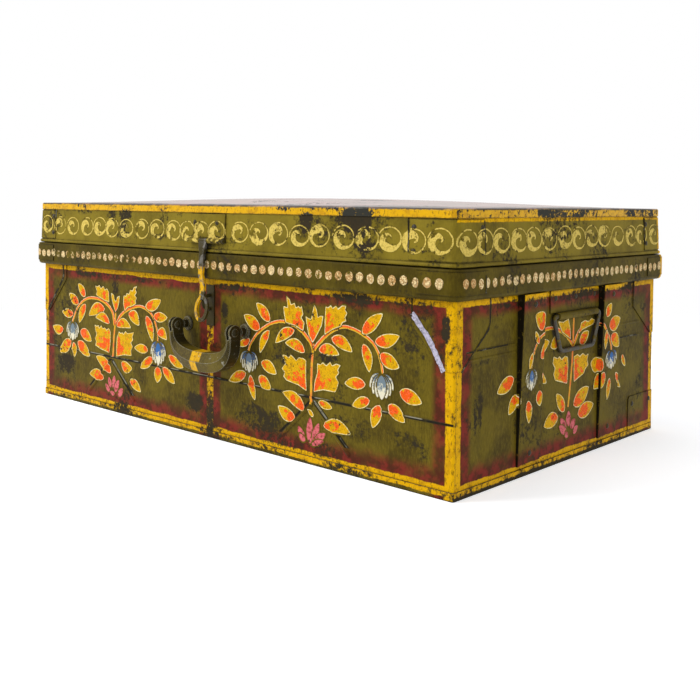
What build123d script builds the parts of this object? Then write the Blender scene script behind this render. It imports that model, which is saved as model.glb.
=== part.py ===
from build123d import *
from math import atan2, copysign, cos, degrees, hypot, pi, radians, sin
import os

# Painted sheet-iron trunk with a domed lid, millimetres.
# The origin is the middle of the underside. X runs along the length, the front faces -Y.
# Offsets called "out" are measured outwards from the outer face of the body's walls.

# Body
body_length = 762.0
body_width = 436.0
sheet = 1.2
pan_edge_height = 9.0
pan_edge_round = 1.0
wall_corner_radius = 2.4
rim_height = 241.0
seam_inset = 3.2
seam_gap = 0.2
seam_lap = 6.0

# Pressed lines in the walls
swage_height = 75.5
swage_radius = 2.2
swage_end_margin = 10.0
rib_radius = 3.0
rib_drop_below_swage = 2.5
rib_fall = 46.0
rib_spread = 54.0
left_rib_x = -206.0
right_rib_x = 188.0
crease_radius = 2.0
front_crease_heights = (136.5, 145.0)
back_crease_heights = (128.5, 145.0)
crease_front_start = 25.5
crease_front_step = 13.0
crease_back_end = 41.0
crease_gusset_margin = 6.0

# Collar round the mouth
collar_height = 31.5
collar_below_rim = 12.0
collar_out = 10.0
collar_sheet = 1.2
collar_curl_radius = 4.6
collar_top_radius = 1.8

# Lid
parting_gap = 0.8
lid_depth = 57.2
lid_out_bottom = 6.0
lid_out_top = 4.0
lid_crown = 10.0
lid_flange_depth = 8.5
lid_edge_round = 2.6
rim_wire_radius = 1.1
wire_fit = 0.05
bead_wall = 1.15
bead_shift = 0.5

# Corner plates
plate_thickness = 1.0
gusset_front_leg = 60.0
gusset_end_leg = 58.0
gusset_bottom = 127.5
gusset_front_break = 177.0
gusset_end_break = 164.5
gusset_front_foot = 14.0
gusset_end_foot = 9.5
foot_front_leg = 44.0
foot_front_height = 38.0
foot_end_leg = 68.0
foot_end_height = 51.5
foot_gap = 0.3
foot_corner_round = 6.0
foot_spot_edge = 10.5
foot_spot_height = 41.5
collar_patch_leg = 40.0
collar_patch_margin = 1.0
lid_patch_right_leg = 54.0
lid_patch_left_leg = 39.0
lid_patch_end_leg = 41.0
lid_patch_margin = 1.5
lid_patch_spot_rise = 14.7
lid_patch_spot_drop = 18.5
lid_patch_front_edge = 6.0
lid_patch_end_edge = 4.0

# End straps
strap_width = 44.0
strap_near_edge = 66.0
strap_top_proud = 9.0
strap_foot_proud = 2.6
strap_foot_height = 13.0
strap_seat_gap = 0.2
strap_edge_round = 1.2
strap_spot_margin = 11.5

# Lines that the hardware is set out on
lock_line_x = 10.0
handle_line_x = 20.0
end_line_y = 8.0

# End handles
end_handle_y = 13.0
end_plate_width = 110.0
end_plate_sheet = 1.5
end_plate_top_gap = 0.2
plate_spot_pitch = 44.0
plate_spot_drop = 9.5
tube_length = 88.0
tube_drop = 29.7
bail_wire_radius = 2.5
bail_fit = 0.08
bail_top_width = 106.0
bail_foot_width = 74.0
bail_drop = 39.5
bail_corner_radius = 4.5
bail_foot_radius = 8.0
bail_butt_gap = 1.0

# Front handle
eye_half_spacing = 54.5
eye_height = 138.5
eye_out = 20.0
eye_neck_radius = 5.0
tongue_radius = 6.8
tongue_height = 10.0
tongue_thickness = 3.2
tongue_clear = 1.0
rose_radius = 9.0
rose_height = 3.0
rose_round = 1.2
handle_pin_radius = 3.0
pin_fit = 0.08
handle_side_gap = 0.4
arm_thickness = 8.0
arm_head_radius = 9.0
arm_depth = 17.0
grip_depth = 21.0
grip_bottom = 86.0
grip_rise = 24.0
grip_shoulder = 7.0
grip_squareness = 0.8
arm_ridge = 1.2
grip_ridge = 5.0
peened_head_radius = 4.6
peened_head_height = 2.4

# Hasp and its hinge plate
hasp_plate_left = 32.5
hasp_plate_right = 32.5
hasp_plate_sheet = 1.5
hasp_pin_radius = 1.6
hasp_axis_rise = 14.5
hasp_plate_rise = 33.0
hasp_spot_rise = 22.2
hasp_spot_left_edge = 7.5
hasp_spot_right_edge = 15.0
hasp_knuckle_stand_off = 0.6
hasp_slot_x = 6.8
hasp_knuckle_width = 13.0
hasp_side_gap = 0.5
hasp_thickness = 3.6
hasp_neck_width = 8.0
hasp_ring_width = 24.0
hasp_ring_height = 32.0
hasp_ring_limb = 4.2
hasp_ring_drop = 83.0
hasp_ring_x = 14.0
hasp_rest_tilt = 7.4
hasp_bar_out = 1.6
hasp_crank_start = 42.0
hasp_crank_end = 54.0
hasp_ring_in = 2.2
pin_head_radius = 2.8
pin_head_height = 1.5

# Staple
staple_plate_width = 14.0
staple_plate_height = 50.0
staple_plate_below = 4.0
staple_plate_sheet = 1.6
staple_wire_radius = 2.2
staple_half_height = 8.3
staple_drop = 75.8
staple_clearance = 1.5
staple_bend_radius = 7.8
staple_inner_tail = 1.2

# Back hinges
hinge_x = 232.0
hinge_width = 60.0
hinge_sheet = 1.5
hinge_pin_radius = 1.6
hinge_centre_knuckle = 29.6
hinge_knuckle_gap = 0.4
hinge_axis_rise = 1.0
hinge_leaf_drop = 28.0
hinge_leaf_clear = 4.5
hinge_leaf_jog_low = 9.0
hinge_leaf_jog_high = 17.0
hinge_leaf_rise = 44.0
hinge_spot_reach = 21.0
hinge_lid_spot_rise = 32.0
hinge_collar_spot_drop = 19.0

# Rivets
rivet_head_radius = 3.2
rivet_head_height = 1.5
rivet_shank_radius = 1.4
rivet_fit = 0.05

half_length = body_length / 2
half_width = body_width / 2
collar_top = rim_height - collar_below_rim
collar_bottom = collar_top - collar_height
tube_height = collar_bottom - tube_drop
lid_bottom = collar_top + parting_gap
lid_edge_height = lid_bottom + lid_depth
lid_patch_spot_heights = (lid_bottom + lid_patch_spot_rise, lid_edge_height - lid_patch_spot_drop)
lid_flange_low = lid_edge_height - lid_flange_depth
hasp_axis_height = lid_bottom + hasp_axis_rise
staple_centre = hasp_axis_height - staple_drop
staple_plate_centre = staple_centre - staple_plate_below
hinge_axis_height = collar_top + hinge_axis_rise
hinge_knuckle_radius = hinge_pin_radius + pin_fit + hinge_sheet
hinge_out = collar_out + hinge_knuckle_radius
hasp_knuckle_radius = hasp_pin_radius + pin_fit + hasp_plate_sheet

os.makedirs("parts", exist_ok=True)


def save(node, shape):
    solids = shape.solids()
    made = solids[0] if len(solids) == 1 else Compound(children=list(solids))
    export_step(made, os.path.join("parts", node + ".step"))


def span_box(x0, x1, y0, y1, z0, z1):
    middle = ((x0 + x1) / 2, (y0 + y1) / 2, (z0 + z1) / 2)
    return Pos(*middle) * Box(x1 - x0, y1 - y0, z1 - z0)


def polygon(points):
    return make_face(Polyline(*points, close=True))


def mirror_x(shape):
    return mirror(shape, about=Plane.YZ)


def mirror_y(shape):
    return mirror(shape, about=Plane.XZ)


def rod(start, end, radius):
    # a round bar from one point to another
    way = Vector(*end) - Vector(*start)
    return extrude(Plane(start, z_dir=way) * Circle(radius), way.length)


def lid_out(height):
    # how far the lid's wall stands out: it leans in up to the flange, then rises straight
    share = (height - lid_bottom) / (lid_flange_low - lid_bottom)
    return lid_out_bottom + (lid_out_top - lid_out_bottom) * min(share, 1)


# Profiles are drawn with x outwards from the body's wall and y upwards, then carried round it.
def front_plane(x, half_out=half_width):
    return Plane((x, -half_out, 0), x_dir=(0, -1, 0), z_dir=(-1, 0, 0))


def front_run(profile, x_from, x_to, half_out=half_width):
    return extrude(front_plane(x_from, half_out) * profile, -(x_to - x_from))


def corner_turn(profile, half_run, half_out, inset, angle):
    start = front_plane(half_run - inset, half_out) * profile
    axis = Axis((half_run - inset, -(half_out - inset), 0), (0, 0, 1))
    return revolve(start, axis, angle)


def end_run(profile, y_from, y_to):
    start = Plane((half_length, y_from, 0), x_dir=(1, 0, 0), z_dir=(0, -1, 0)) * profile
    return extrude(start, -(y_to - y_from))


def mitred_strip(profile, half_out, half_run):
    # one side of a frame round the trunk, mitred in the middle of its rounded corners
    reach = half_run - wall_corner_radius
    turn = corner_turn(profile, half_run, half_out, wall_corner_radius, 45)
    return front_run(profile, -reach, reach, half_out) + turn + mirror_x(turn)


def four_strips(profile):
    front = mitred_strip(profile, half_width, half_length)
    right = Rot(0, 0, 90) * mitred_strip(profile, half_length, half_width)
    return {"front": front, "back": mirror_y(front), "right": right, "left": mirror_x(right)}


def corner_wrap(profile, front_leg, end_leg, inset):
    # a plate bent round the front right corner
    front = front_run(profile, half_length - front_leg, half_length - inset)
    turn = corner_turn(profile, half_length, half_width, inset, 90)
    end = end_run(profile, -half_width + inset, -half_width + end_leg)
    return front + turn + end


def four_corners(shape):
    back = mirror_y(shape)
    return {"front_right": shape, "front_left": mirror_x(shape),
            "back_right": back, "back_left": mirror_x(back)}


# Rivets: each is a point on the outer plate, the way out, and the thickness it holds
def rivet(spot):
    origin, outward, grip = spot
    dome_radius = (rivet_head_radius ** 2 + rivet_head_height ** 2) / (2 * rivet_head_height)
    sweep = degrees(atan2(rivet_head_radius, dome_radius - rivet_head_height))
    dome = CenterArc((0, rivet_head_height - dome_radius), dome_radius, 90 - sweep, sweep)
    sides = Polyline((0, rivet_head_height), (0, -grip), (rivet_shank_radius, -grip),
                     (rivet_shank_radius, 0), (rivet_head_radius, 0))
    section = Plane.XZ * make_face(dome + sides)
    return Plane(origin, z_dir=outward) * revolve(section, Axis.Z, 360)


def drill(shape, spots):
    for origin, outward, grip in spots:
        hole = Cylinder(rivet_shank_radius + rivet_fit, 2 * grip + 2 * sheet)
        shape = shape - Plane(origin, z_dir=outward) * hole
    return shape


def side_of(spot):
    # the side of the trunk a rivet is driven into
    x, y, z = spot[1]
    if abs(x) > abs(y):
        return "right" if x > 0 else "left"
    return "back" if y > 0 else "front"


def mirrored_spots(spots, flip_x, flip_y):
    result = []
    for (x, y, z), (nx, ny, nz), grip in spots:
        sx = -1 if flip_x else 1
        sy = -1 if flip_y else 1
        result.append(((sx * x, sy * y, z), (sx * nx, sy * ny, nz), grip))
    return result


front_outward = (0, -1, 0)
end_outward = (1, 0, 0)
lid_lean = degrees(atan2(lid_out_bottom - lid_out_top, lid_flange_low - lid_bottom))
lid_front_outward = (0, -cos(radians(lid_lean)), sin(radians(lid_lean)))
lid_end_outward = (cos(radians(lid_lean)), 0, sin(radians(lid_lean)))


def lid_front_spot(x, height, over):
    return ((x, -half_width - lid_out(height) - over, height), lid_front_outward, over + sheet)


def lid_end_spot(y, height, over):
    return ((half_length + lid_out(height) + over, y, height), lid_end_outward, over + sheet)


def end_spot(y, height, over):
    return ((half_length + over, y, height), end_outward, over + sheet)


foot_spots = [end_spot(-half_width + foot_end_leg - foot_spot_edge, foot_spot_height, plate_thickness),
              end_spot(-half_width + foot_spot_edge, foot_spot_height, plate_thickness)]
strap_top = collar_bottom - strap_seat_gap
strap_lean = atan2(strap_top_proud - strap_foot_proud, strap_top - strap_foot_height)
strap_outward = (cos(strap_lean), 0, -sin(strap_lean))


def strap_proud(height):
    share = (height - strap_foot_height) / (strap_top - strap_foot_height)
    return strap_foot_proud + (strap_top_proud - strap_foot_proud) * share


def strap_spots(centre_y):
    spots = []
    for height in (strap_top - strap_spot_margin, strap_foot_height + strap_spot_margin):
        proud = strap_proud(height)
        spots.append(((half_length + proud, centre_y, height), strap_outward, proud + sheet))
    return spots


strap_centres = (-strap_near_edge - strap_width / 2 + end_line_y / 2,
                 strap_near_edge + strap_width / 2 + end_line_y / 2)
plate_spots = [end_spot(end_handle_y + shift, collar_bottom - plate_spot_drop, end_plate_sheet)
               for shift in (-plate_spot_pitch, 0, plate_spot_pitch)]


def lid_patch_spots(front_leg):
    spots = []
    for height in lid_patch_spot_heights:
        spots.append(lid_front_spot(half_length - front_leg + lid_patch_front_edge, height,
                                    plate_thickness))
        spots.append(lid_end_spot(-half_width + lid_patch_end_leg - lid_patch_end_edge, height,
                                  plate_thickness))
    return spots


hasp_plate_spots = [
    lid_front_spot(lock_line_x - hasp_plate_left + hasp_spot_left_edge,
                   hasp_axis_height + hasp_spot_rise, hasp_plate_sheet),
    lid_front_spot(lock_line_x + hasp_plate_right - hasp_spot_right_edge,
                   hasp_axis_height + hasp_spot_rise, hasp_plate_sheet)]
hinge_lid_spots = []
hinge_collar_spots = []
for centre_x in (-hinge_x, hinge_x):
    for side in (-1, 1):
        spot_x = centre_x + side * hinge_spot_reach
        hinge_lid_spots += mirrored_spots(
            [lid_front_spot(spot_x, hinge_axis_height + hinge_lid_spot_rise, hinge_sheet)],
            False, True)
        hinge_collar_spots.append(((spot_x, half_width + collar_out + hinge_sheet,
                                    hinge_axis_height - hinge_collar_spot_drop), (0, 1, 0),
                                   hinge_sheet + collar_sheet))


# Bottom pan: a tray whose edge stands outside the walls
def bottom_pan():
    outer_size = (body_length + 2 * sheet, body_width + 2 * sheet)
    outer = extrude(RectangleRounded(*outer_size, wall_corner_radius + sheet), pan_edge_height)
    outer = fillet(outer.faces().sort_by(Axis.Z)[0].edges(), pan_edge_round)
    inner = extrude(RectangleRounded(body_length, body_width, wall_corner_radius),
                    pan_edge_height)
    return outer - Pos(0, 0, sheet) * inner


# Pressed line: the sheet is pushed out along a half-round, hollow behind
def pressed_line(start, end, radius, facing):
    ball = Sphere(radius)
    core = Sphere(radius - sheet)
    outer = rod(start, end, radius) + Pos(*start) * ball + Pos(*end) * ball
    inner = rod(start, end, radius - sheet) + Pos(*start) * core + Pos(*end) * core
    behind = Plane(start, z_dir=facing)
    return split(outer, behind, keep=Keep.TOP), inner


def press(wall, lines):
    for outer, inner in lines:
        wall = wall + outer
    for outer, inner in lines:
        wall = wall - inner
    return wall


# Front and back walls wrap the corners, then step in to lap behind the end walls
def long_wall():
    edge = half_width
    flat = span_box(-half_length + wall_corner_radius, half_length - wall_corner_radius,
                    -edge, -edge + sheet, sheet, rim_height)
    skin = polygon([(-sheet, sheet), (0, sheet), (0, rim_height), (-sheet, rim_height)])
    turn = corner_turn(skin, half_length, half_width, wall_corner_radius, 90)
    cheek = span_box(half_length - sheet, half_length, -edge + wall_corner_radius,
                     -edge + seam_inset, sheet, rim_height)
    lap = span_box(half_length - 2 * sheet, half_length - sheet, -edge + seam_inset - sheet,
                   -edge + seam_inset + seam_lap, sheet, rim_height)
    corner = turn + cheek + lap
    return flat + corner + mirror_x(corner)


def body_front():
    inner_face = -half_width + sheet
    lines = [pressed_line((-half_length + swage_end_margin, inner_face, swage_height),
                          (half_length - swage_end_margin, inner_face, swage_height),
                          swage_radius, front_outward)]
    top = swage_height - rib_drop_below_swage - rib_radius - swage_radius
    for apex in (left_rib_x, right_rib_x):
        for side in (-1, 1):
            lines.append(pressed_line((apex + side * rib_radius, inner_face, top),
                                      (apex + side * rib_spread, inner_face, top - rib_fall),
                                      rib_radius, front_outward))
    return press(long_wall(), lines) - staple_legs(staple_wire_radius + rivet_fit)


def end_wall():
    reach = half_width - seam_inset - seam_gap
    inner_face = half_length - sheet
    lines = []
    strap_clear = strap_width / 2 + crease_gusset_margin
    for step, height in enumerate(front_crease_heights):
        start = -half_width + crease_front_start + step * crease_front_step
        lines.append(pressed_line((inner_face, start, height),
                                  (inner_face, strap_centres[0] - strap_clear, height),
                                  crease_radius, end_outward))
    for height in back_crease_heights:
        lines.append(pressed_line((inner_face, strap_centres[1] + strap_clear, height),
                                  (inner_face, half_width - crease_back_end, height),
                                  crease_radius, end_outward))
    wall = span_box(half_length - sheet, half_length, -reach, reach, sheet, rim_height)
    spots = plate_spots + strap_spots(strap_centres[0]) + strap_spots(strap_centres[1])
    spots = spots + mirrored_spots(foot_spots, False, True)
    return drill(press(wall, lines), spots)


# Collar: a hollow band with a curled lower edge, open towards the wall
def collar_profile():
    height = collar_top - collar_bottom
    outer = Pos(collar_out / 2, collar_bottom + height / 2) * Rectangle(collar_out, height)
    far = outer.vertices().filter_by(lambda v: v.X > collar_out / 2).sort_by(Axis.Y)
    outer = fillet(far[0], collar_curl_radius)
    far = outer.vertices().filter_by(lambda v: v.X > collar_out / 2).sort_by(Axis.Y)
    outer = fillet(far[-1], collar_top_radius)
    cavity_depth = collar_out - collar_sheet
    cavity_height = height - 2 * collar_sheet
    cavity = Pos(cavity_depth / 2, collar_bottom + height / 2) * Rectangle(cavity_depth, cavity_height)
    far = cavity.vertices().filter_by(lambda v: v.X > cavity_depth / 2).sort_by(Axis.Y)
    cavity = fillet(far[0], collar_curl_radius - collar_sheet)
    return outer - cavity


def collar_patch():
    low = collar_bottom + collar_curl_radius + collar_patch_margin
    high = collar_top - collar_top_radius - collar_patch_margin
    near = collar_out
    far = collar_out + plate_thickness
    skin = polygon([(near, low), (far, low), (far, high), (near, high)])
    return corner_wrap(skin, collar_patch_leg, collar_patch_leg, wall_corner_radius)


# Upper corner plates, cut away on the diagonal
def gusset():
    skin = polygon([(0, gusset_bottom), (plate_thickness, gusset_bottom),
                    (plate_thickness, collar_bottom), (0, collar_bottom)])
    plate = corner_wrap(skin, gusset_front_leg, gusset_end_leg, wall_corner_radius)
    front_cut = polygon([(half_length - gusset_front_foot, gusset_bottom),
                         (half_length - gusset_front_leg, gusset_front_break),
                         (half_length - gusset_front_leg - 1, gusset_bottom - 1),
                         (half_length - gusset_front_foot, gusset_bottom - 1)])
    end_cut = polygon([(-half_width + gusset_end_foot, gusset_bottom),
                       (-half_width + gusset_end_leg, gusset_end_break),
                       (-half_width + gusset_end_leg + 1, gusset_bottom - 1),
                       (-half_width + gusset_end_foot, gusset_bottom - 1)])
    front_knife = extrude(Plane.XZ.offset(half_width - 1) * front_cut, plate_thickness + 2)
    end_knife = extrude(Plane.YZ.offset(half_length - 1) * end_cut, plate_thickness + 2)
    return plate - front_knife - end_knife


# Lower plates on the two back corners, taller on the end than on the back
def foot_patch():
    low = pan_edge_height + foot_gap
    skin = polygon([(0, low), (plate_thickness, low), (plate_thickness, foot_end_height),
                    (0, foot_end_height)])
    plate = corner_wrap(skin, foot_front_leg, foot_end_leg, wall_corner_radius)
    notch = span_box(half_length - foot_front_leg - 1, half_length - wall_corner_radius,
                     -half_width - 2, -half_width + 1, foot_front_height, foot_end_height + 1)
    plate = plate - notch
    tip = plate.edges().filter_by(Axis.X).sort_by(Axis.Y)[-2:]
    upper_tip = tip.sort_by(Axis.Z)[-1]
    return drill(fillet(upper_tip, foot_corner_round), foot_spots)


# Raised upright strap: a channel that stands prouder at the top than at the foot
def end_strap(centre_y):
    low = strap_foot_height
    outer_side = [(half_length, low), (half_length + strap_foot_proud, low),
                  (half_length + strap_top_proud, strap_top), (half_length, strap_top)]
    inner_side = [(half_length - 1, low + sheet),
                  (half_length + strap_foot_proud - sheet, low + sheet),
                  (half_length + strap_top_proud - sheet, strap_top - sheet),
                  (half_length - 1, strap_top - sheet)]
    half = strap_width / 2
    outer = extrude(Plane.XZ.offset(-centre_y) * polygon(outer_side), half, both=True)
    long_edges = outer.faces().sort_by(Axis.X)[-1].edges().filter_by(Axis.Y, reverse=True)
    outer = fillet(long_edges, strap_edge_round)
    inner = extrude(Plane.XZ.offset(-centre_y) * polygon(inner_side), half - sheet, both=True)
    return drill(outer - inner, strap_spots(centre_y))


# End handle: a plate rolled into a tube along its lower edge, and a wire bail in the tube
tube_inner_radius = bail_wire_radius + bail_fit
tube_outer_radius = tube_inner_radius + end_plate_sheet
tube_out = tube_outer_radius


def handle_plate():
    low = tube_height
    high = collar_bottom - end_plate_top_gap
    half_plate = end_plate_width / 2
    half_tube = tube_length / 2
    plate = span_box(half_length, half_length + end_plate_sheet, end_handle_y - half_plate,
                     end_handle_y + half_plate, low + tube_outer_radius, high)
    web = span_box(half_length, half_length + end_plate_sheet, end_handle_y - half_tube,
                   end_handle_y + half_tube, low, low + tube_outer_radius)
    axis_start = (half_length + tube_out, end_handle_y - half_tube, low)
    axis_end = (half_length + tube_out, end_handle_y + half_tube, low)
    tube = rod(axis_start, axis_end, tube_outer_radius)
    bore = rod(axis_start, axis_end, tube_inner_radius)
    return drill(plate + web + tube - bore, plate_spots)


def end_bail():
    x = half_length + tube_out
    half_top = bail_top_width / 2
    half_foot = bail_foot_width / 2
    foot = tube_height - bail_drop
    gap = bail_butt_gap / 2
    path = FilletPolyline((x, end_handle_y + gap, tube_height), (x, end_handle_y + half_top, tube_height),
                          (x, end_handle_y + half_foot, foot), (x, end_handle_y - half_foot, foot),
                          (x, end_handle_y - half_top, tube_height), (x, end_handle_y - gap, tube_height),
                          radius=[bail_corner_radius, bail_foot_radius, bail_foot_radius,
                                  bail_corner_radius])
    section = Plane((x, end_handle_y + gap, tube_height), z_dir=(0, 1, 0)) * Circle(bail_wire_radius)
    return sweep(section, path)


# Front handle: a forged bail, square at the arms and deep at the grip. Each arm ends in a fork
# that holds the flat tongue of an eye, with a pin riveted over on both sides.
def handle_eye(side):
    x = handle_line_x + side * eye_half_spacing
    wall = -half_width
    rose = Plane((x, wall, eye_height), z_dir=front_outward) * extrude(Circle(rose_radius), rose_height)
    rose = chamfer(rose.faces().sort_by(Axis.Y)[0].edges(), rose_round)
    neck_out = eye_out - arm_head_radius - tongue_clear
    neck = rod((x, wall, eye_height), (x, wall - neck_out, eye_height), eye_neck_radius)
    left, right = x - tongue_thickness / 2, x + tongue_thickness / 2
    tongue = span_box(left, right, wall - eye_out, wall - rose_height,
                      eye_height - tongue_height / 2, eye_height + tongue_height / 2)
    tip = rod((left, wall - eye_out, eye_height), (right, wall - eye_out, eye_height), tongue_radius)
    hole = rod((left, wall - eye_out, eye_height), (right, wall - eye_out, eye_height),
               handle_pin_radius + pin_fit)
    return rose + neck + tongue + tip - hole


arm_inner = eye_half_spacing - arm_thickness / 2
arm_outer = eye_half_spacing + arm_thickness / 2
arm_foot = eye_height - grip_shoulder


def grip_section(turn):
    # five-sided section across the bail: a ridge runs along the middle of its outer face
    swell = max(sin(turn), 0) ** grip_squareness
    spread = -copysign(abs(cos(turn)) ** grip_squareness, cos(turn))
    outer_point = (arm_outer * spread, arm_foot - (arm_foot - grip_bottom) * swell)
    inner_drop = arm_foot - grip_bottom - grip_rise
    inner_point = (arm_inner * spread, arm_foot - inner_drop * swell)
    across = (outer_point[0] - inner_point[0], outer_point[1] - inner_point[1])
    thick = hypot(*across)
    middle = ((outer_point[0] + inner_point[0]) / 2, (outer_point[1] + inner_point[1]) / 2)
    origin = (handle_line_x + middle[0], -half_width - eye_out, middle[1])
    section = Plane(origin, x_dir=(across[0], 0, across[1]), z_dir=(-across[1], 0, across[0]))
    half_depth = (arm_depth + (grip_depth - arm_depth) * swell) / 2
    ridge = arm_ridge + (grip_ridge - arm_ridge) * swell
    out = -1 if section.y_dir.Y > 0 else 1
    return section * polygon([(-thick / 2, -out * half_depth), (thick / 2, -out * half_depth),
                              (thick / 2, out * (half_depth - ridge)), (0, out * half_depth),
                              (-thick / 2, out * (half_depth - ridge))])


def peened_head(x, way):
    # the end of the pin, hammered into a low dome
    dome_radius = (peened_head_radius ** 2 + peened_head_height ** 2) / (2 * peened_head_height)
    ball = Pos(0, 0, peened_head_height - dome_radius) * Sphere(dome_radius)
    cap = ball & Pos(0, 0, dome_radius) * Box(4 * dome_radius, 4 * dome_radius, 2 * dome_radius)
    return Plane((x, -half_width - eye_out, eye_height), z_dir=(way, 0, 0)) * cap


def front_handle():
    turns = [radians(angle) for angle in range(0, 181, 9)]
    handle = loft([grip_section(turn) for turn in turns], ruled=True)
    axis = (-half_width - eye_out, eye_height)
    slot_half = tongue_thickness / 2 + handle_side_gap
    slot_floor = eye_height - tongue_radius - tongue_clear
    for side, turn in ((-1, 0), (1, pi)):
        x = handle_line_x + side * eye_half_spacing
        left, right = x - arm_thickness / 2, x + arm_thickness / 2
        handle = handle + extrude(grip_section(turn), eye_height - arm_foot, dir=(0, 0, 1))
        handle = handle + rod((left, *axis), (right, *axis), arm_head_radius)
        handle = handle - span_box(x - slot_half, x + slot_half, axis[0] - arm_depth,
                                   axis[0] + arm_depth, slot_floor, eye_height + arm_depth)
        handle = handle + rod((left, *axis), (right, *axis), handle_pin_radius)
        handle = handle + peened_head(left, -1) + peened_head(right, 1)
    return handle


# Lid
def lid_wall_profile():
    top = lid_edge_height + sheet - lid_edge_round
    centre_out = lid_out_bottom - sheet / 2 + bead_shift
    bead_inner = rim_wire_radius + wire_fit
    bead_outer = bead_inner + bead_wall
    centre_height = lid_bottom + bead_outer
    start = lid_out(centre_height)
    wall = polygon([(start - sheet, centre_height), (start, centre_height),
                    (lid_out_top, lid_flange_low), (lid_out_top, top),
                    (lid_out_top - sheet, top), (lid_out_top - sheet, lid_flange_low)])
    spot = Pos(centre_out, centre_height)
    return wall + spot * Circle(bead_outer) - spot * Circle(bead_inner)


def rim_wire_profile():
    centre_out = lid_out_bottom - sheet / 2 + bead_shift
    centre_height = lid_bottom + rim_wire_radius + wire_fit + bead_wall
    return Pos(centre_out, centre_height) * Circle(rim_wire_radius)


def dome(height):
    # crowned both ways and level along all four edges
    reach_x = half_length + lid_out_top + sheet
    reach_y = half_width + lid_out_top + sheet
    stations = [step / 10 for step in range(-11, 12, 2)]
    rows = []
    for across in stations:
        row = []
        for along in stations:
            rise = lid_crown * max(0, 1 - across ** 2) * max(0, 1 - along ** 2)
            row.append((across * reach_x, along * reach_y, height + rise))
        rows.append(row)
    return Face.make_surface_from_array_of_points(rows)


def lid_top():
    # a domed sheet folded down over the walls
    low = lid_flange_low
    top = lid_edge_height + sheet
    overhang = lid_out_top + sheet
    radius = wall_corner_radius + overhang
    plan = RectangleRounded(body_length + 2 * overhang, body_width + 2 * overhang, radius)
    block = extrude(Pos(0, 0, low) * plan, lid_flange_depth + sheet + lid_crown + 5)
    above = extrude(dome(top), amount=3 * lid_crown, dir=(0, 0, 1))
    block = block - above
    block = fillet(block.faces().sort_by(Axis.Z)[-1].edges(), lid_edge_round)
    inner_plan = RectangleRounded(body_length + 2 * lid_out_top, body_width + 2 * lid_out_top,
                                  wall_corner_radius + lid_out_top)
    hollow = extrude(Pos(0, 0, low) * inner_plan, lid_flange_depth + lid_crown + 5)
    hollow = hollow - extrude(dome(lid_edge_height), amount=3 * lid_crown, dir=(0, 0, 1))
    hollow = fillet(hollow.faces().sort_by(Axis.Z)[-1].edges(), lid_edge_round - sheet)
    return block - hollow


def lid_patch(front_leg):
    low = lid_bottom + 2 * (rim_wire_radius + wire_fit + bead_wall) + lid_patch_margin
    high = lid_flange_low - lid_patch_margin
    skin = polygon([(lid_out(low), low), (lid_out(low) + plate_thickness, low),
                    (lid_out(high) + plate_thickness, high), (lid_out(high), high)])
    wrap = corner_wrap(skin, front_leg, lid_patch_end_leg, wall_corner_radius)
    return drill(wrap, lid_patch_spots(front_leg))


# Hasp hinge plate on the lid, its lower edge rolled round a pin on both sides of the hasp
hasp_axis_out = lid_out(hasp_axis_height) + hasp_knuckle_stand_off + hasp_knuckle_radius
hasp_axis = (-half_width - hasp_axis_out, hasp_axis_height)
hasp_slot_half = hasp_knuckle_width / 2 + hasp_side_gap


def hasp_hinge_plate():
    left = lock_line_x - hasp_plate_left
    right = lock_line_x + hasp_plate_right
    high = hasp_axis_height + hasp_plate_rise
    low = hasp_axis_height + hasp_knuckle_radius
    skin = polygon([(lid_out(low), low), (lid_out(low) + hasp_plate_sheet, low),
                    (lid_out(high) + hasp_plate_sheet, high), (lid_out(high), high)])
    plate = front_run(skin, left, right)
    web_low = hasp_axis_height
    web_skin = polygon([(lid_out(web_low), web_low), (lid_out(web_low) + hasp_plate_sheet, web_low),
                        (lid_out(low) + hasp_plate_sheet, low), (lid_out(low), low)])
    for start, end in ((left, hasp_slot_x - hasp_slot_half), (hasp_slot_x + hasp_slot_half, right)):
        knuckle = rod((start, *hasp_axis), (end, *hasp_axis), hasp_knuckle_radius)
        plate = plate + front_run(web_skin, start, end) + knuckle
    bore = rod((left, *hasp_axis), (right, *hasp_axis), hasp_pin_radius + pin_fit)
    return drill(plate - bore, hasp_plate_spots)


def headed_pin(start_x, end_x, axis, radius):
    shank = rod((start_x, *axis), (end_x, *axis), radius)
    for x, way in ((start_x, -1), (end_x, 1)):
        shank = shank + rod((x, *axis), (x + way * pin_head_height, *axis), pin_head_radius)
    return shank


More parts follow.
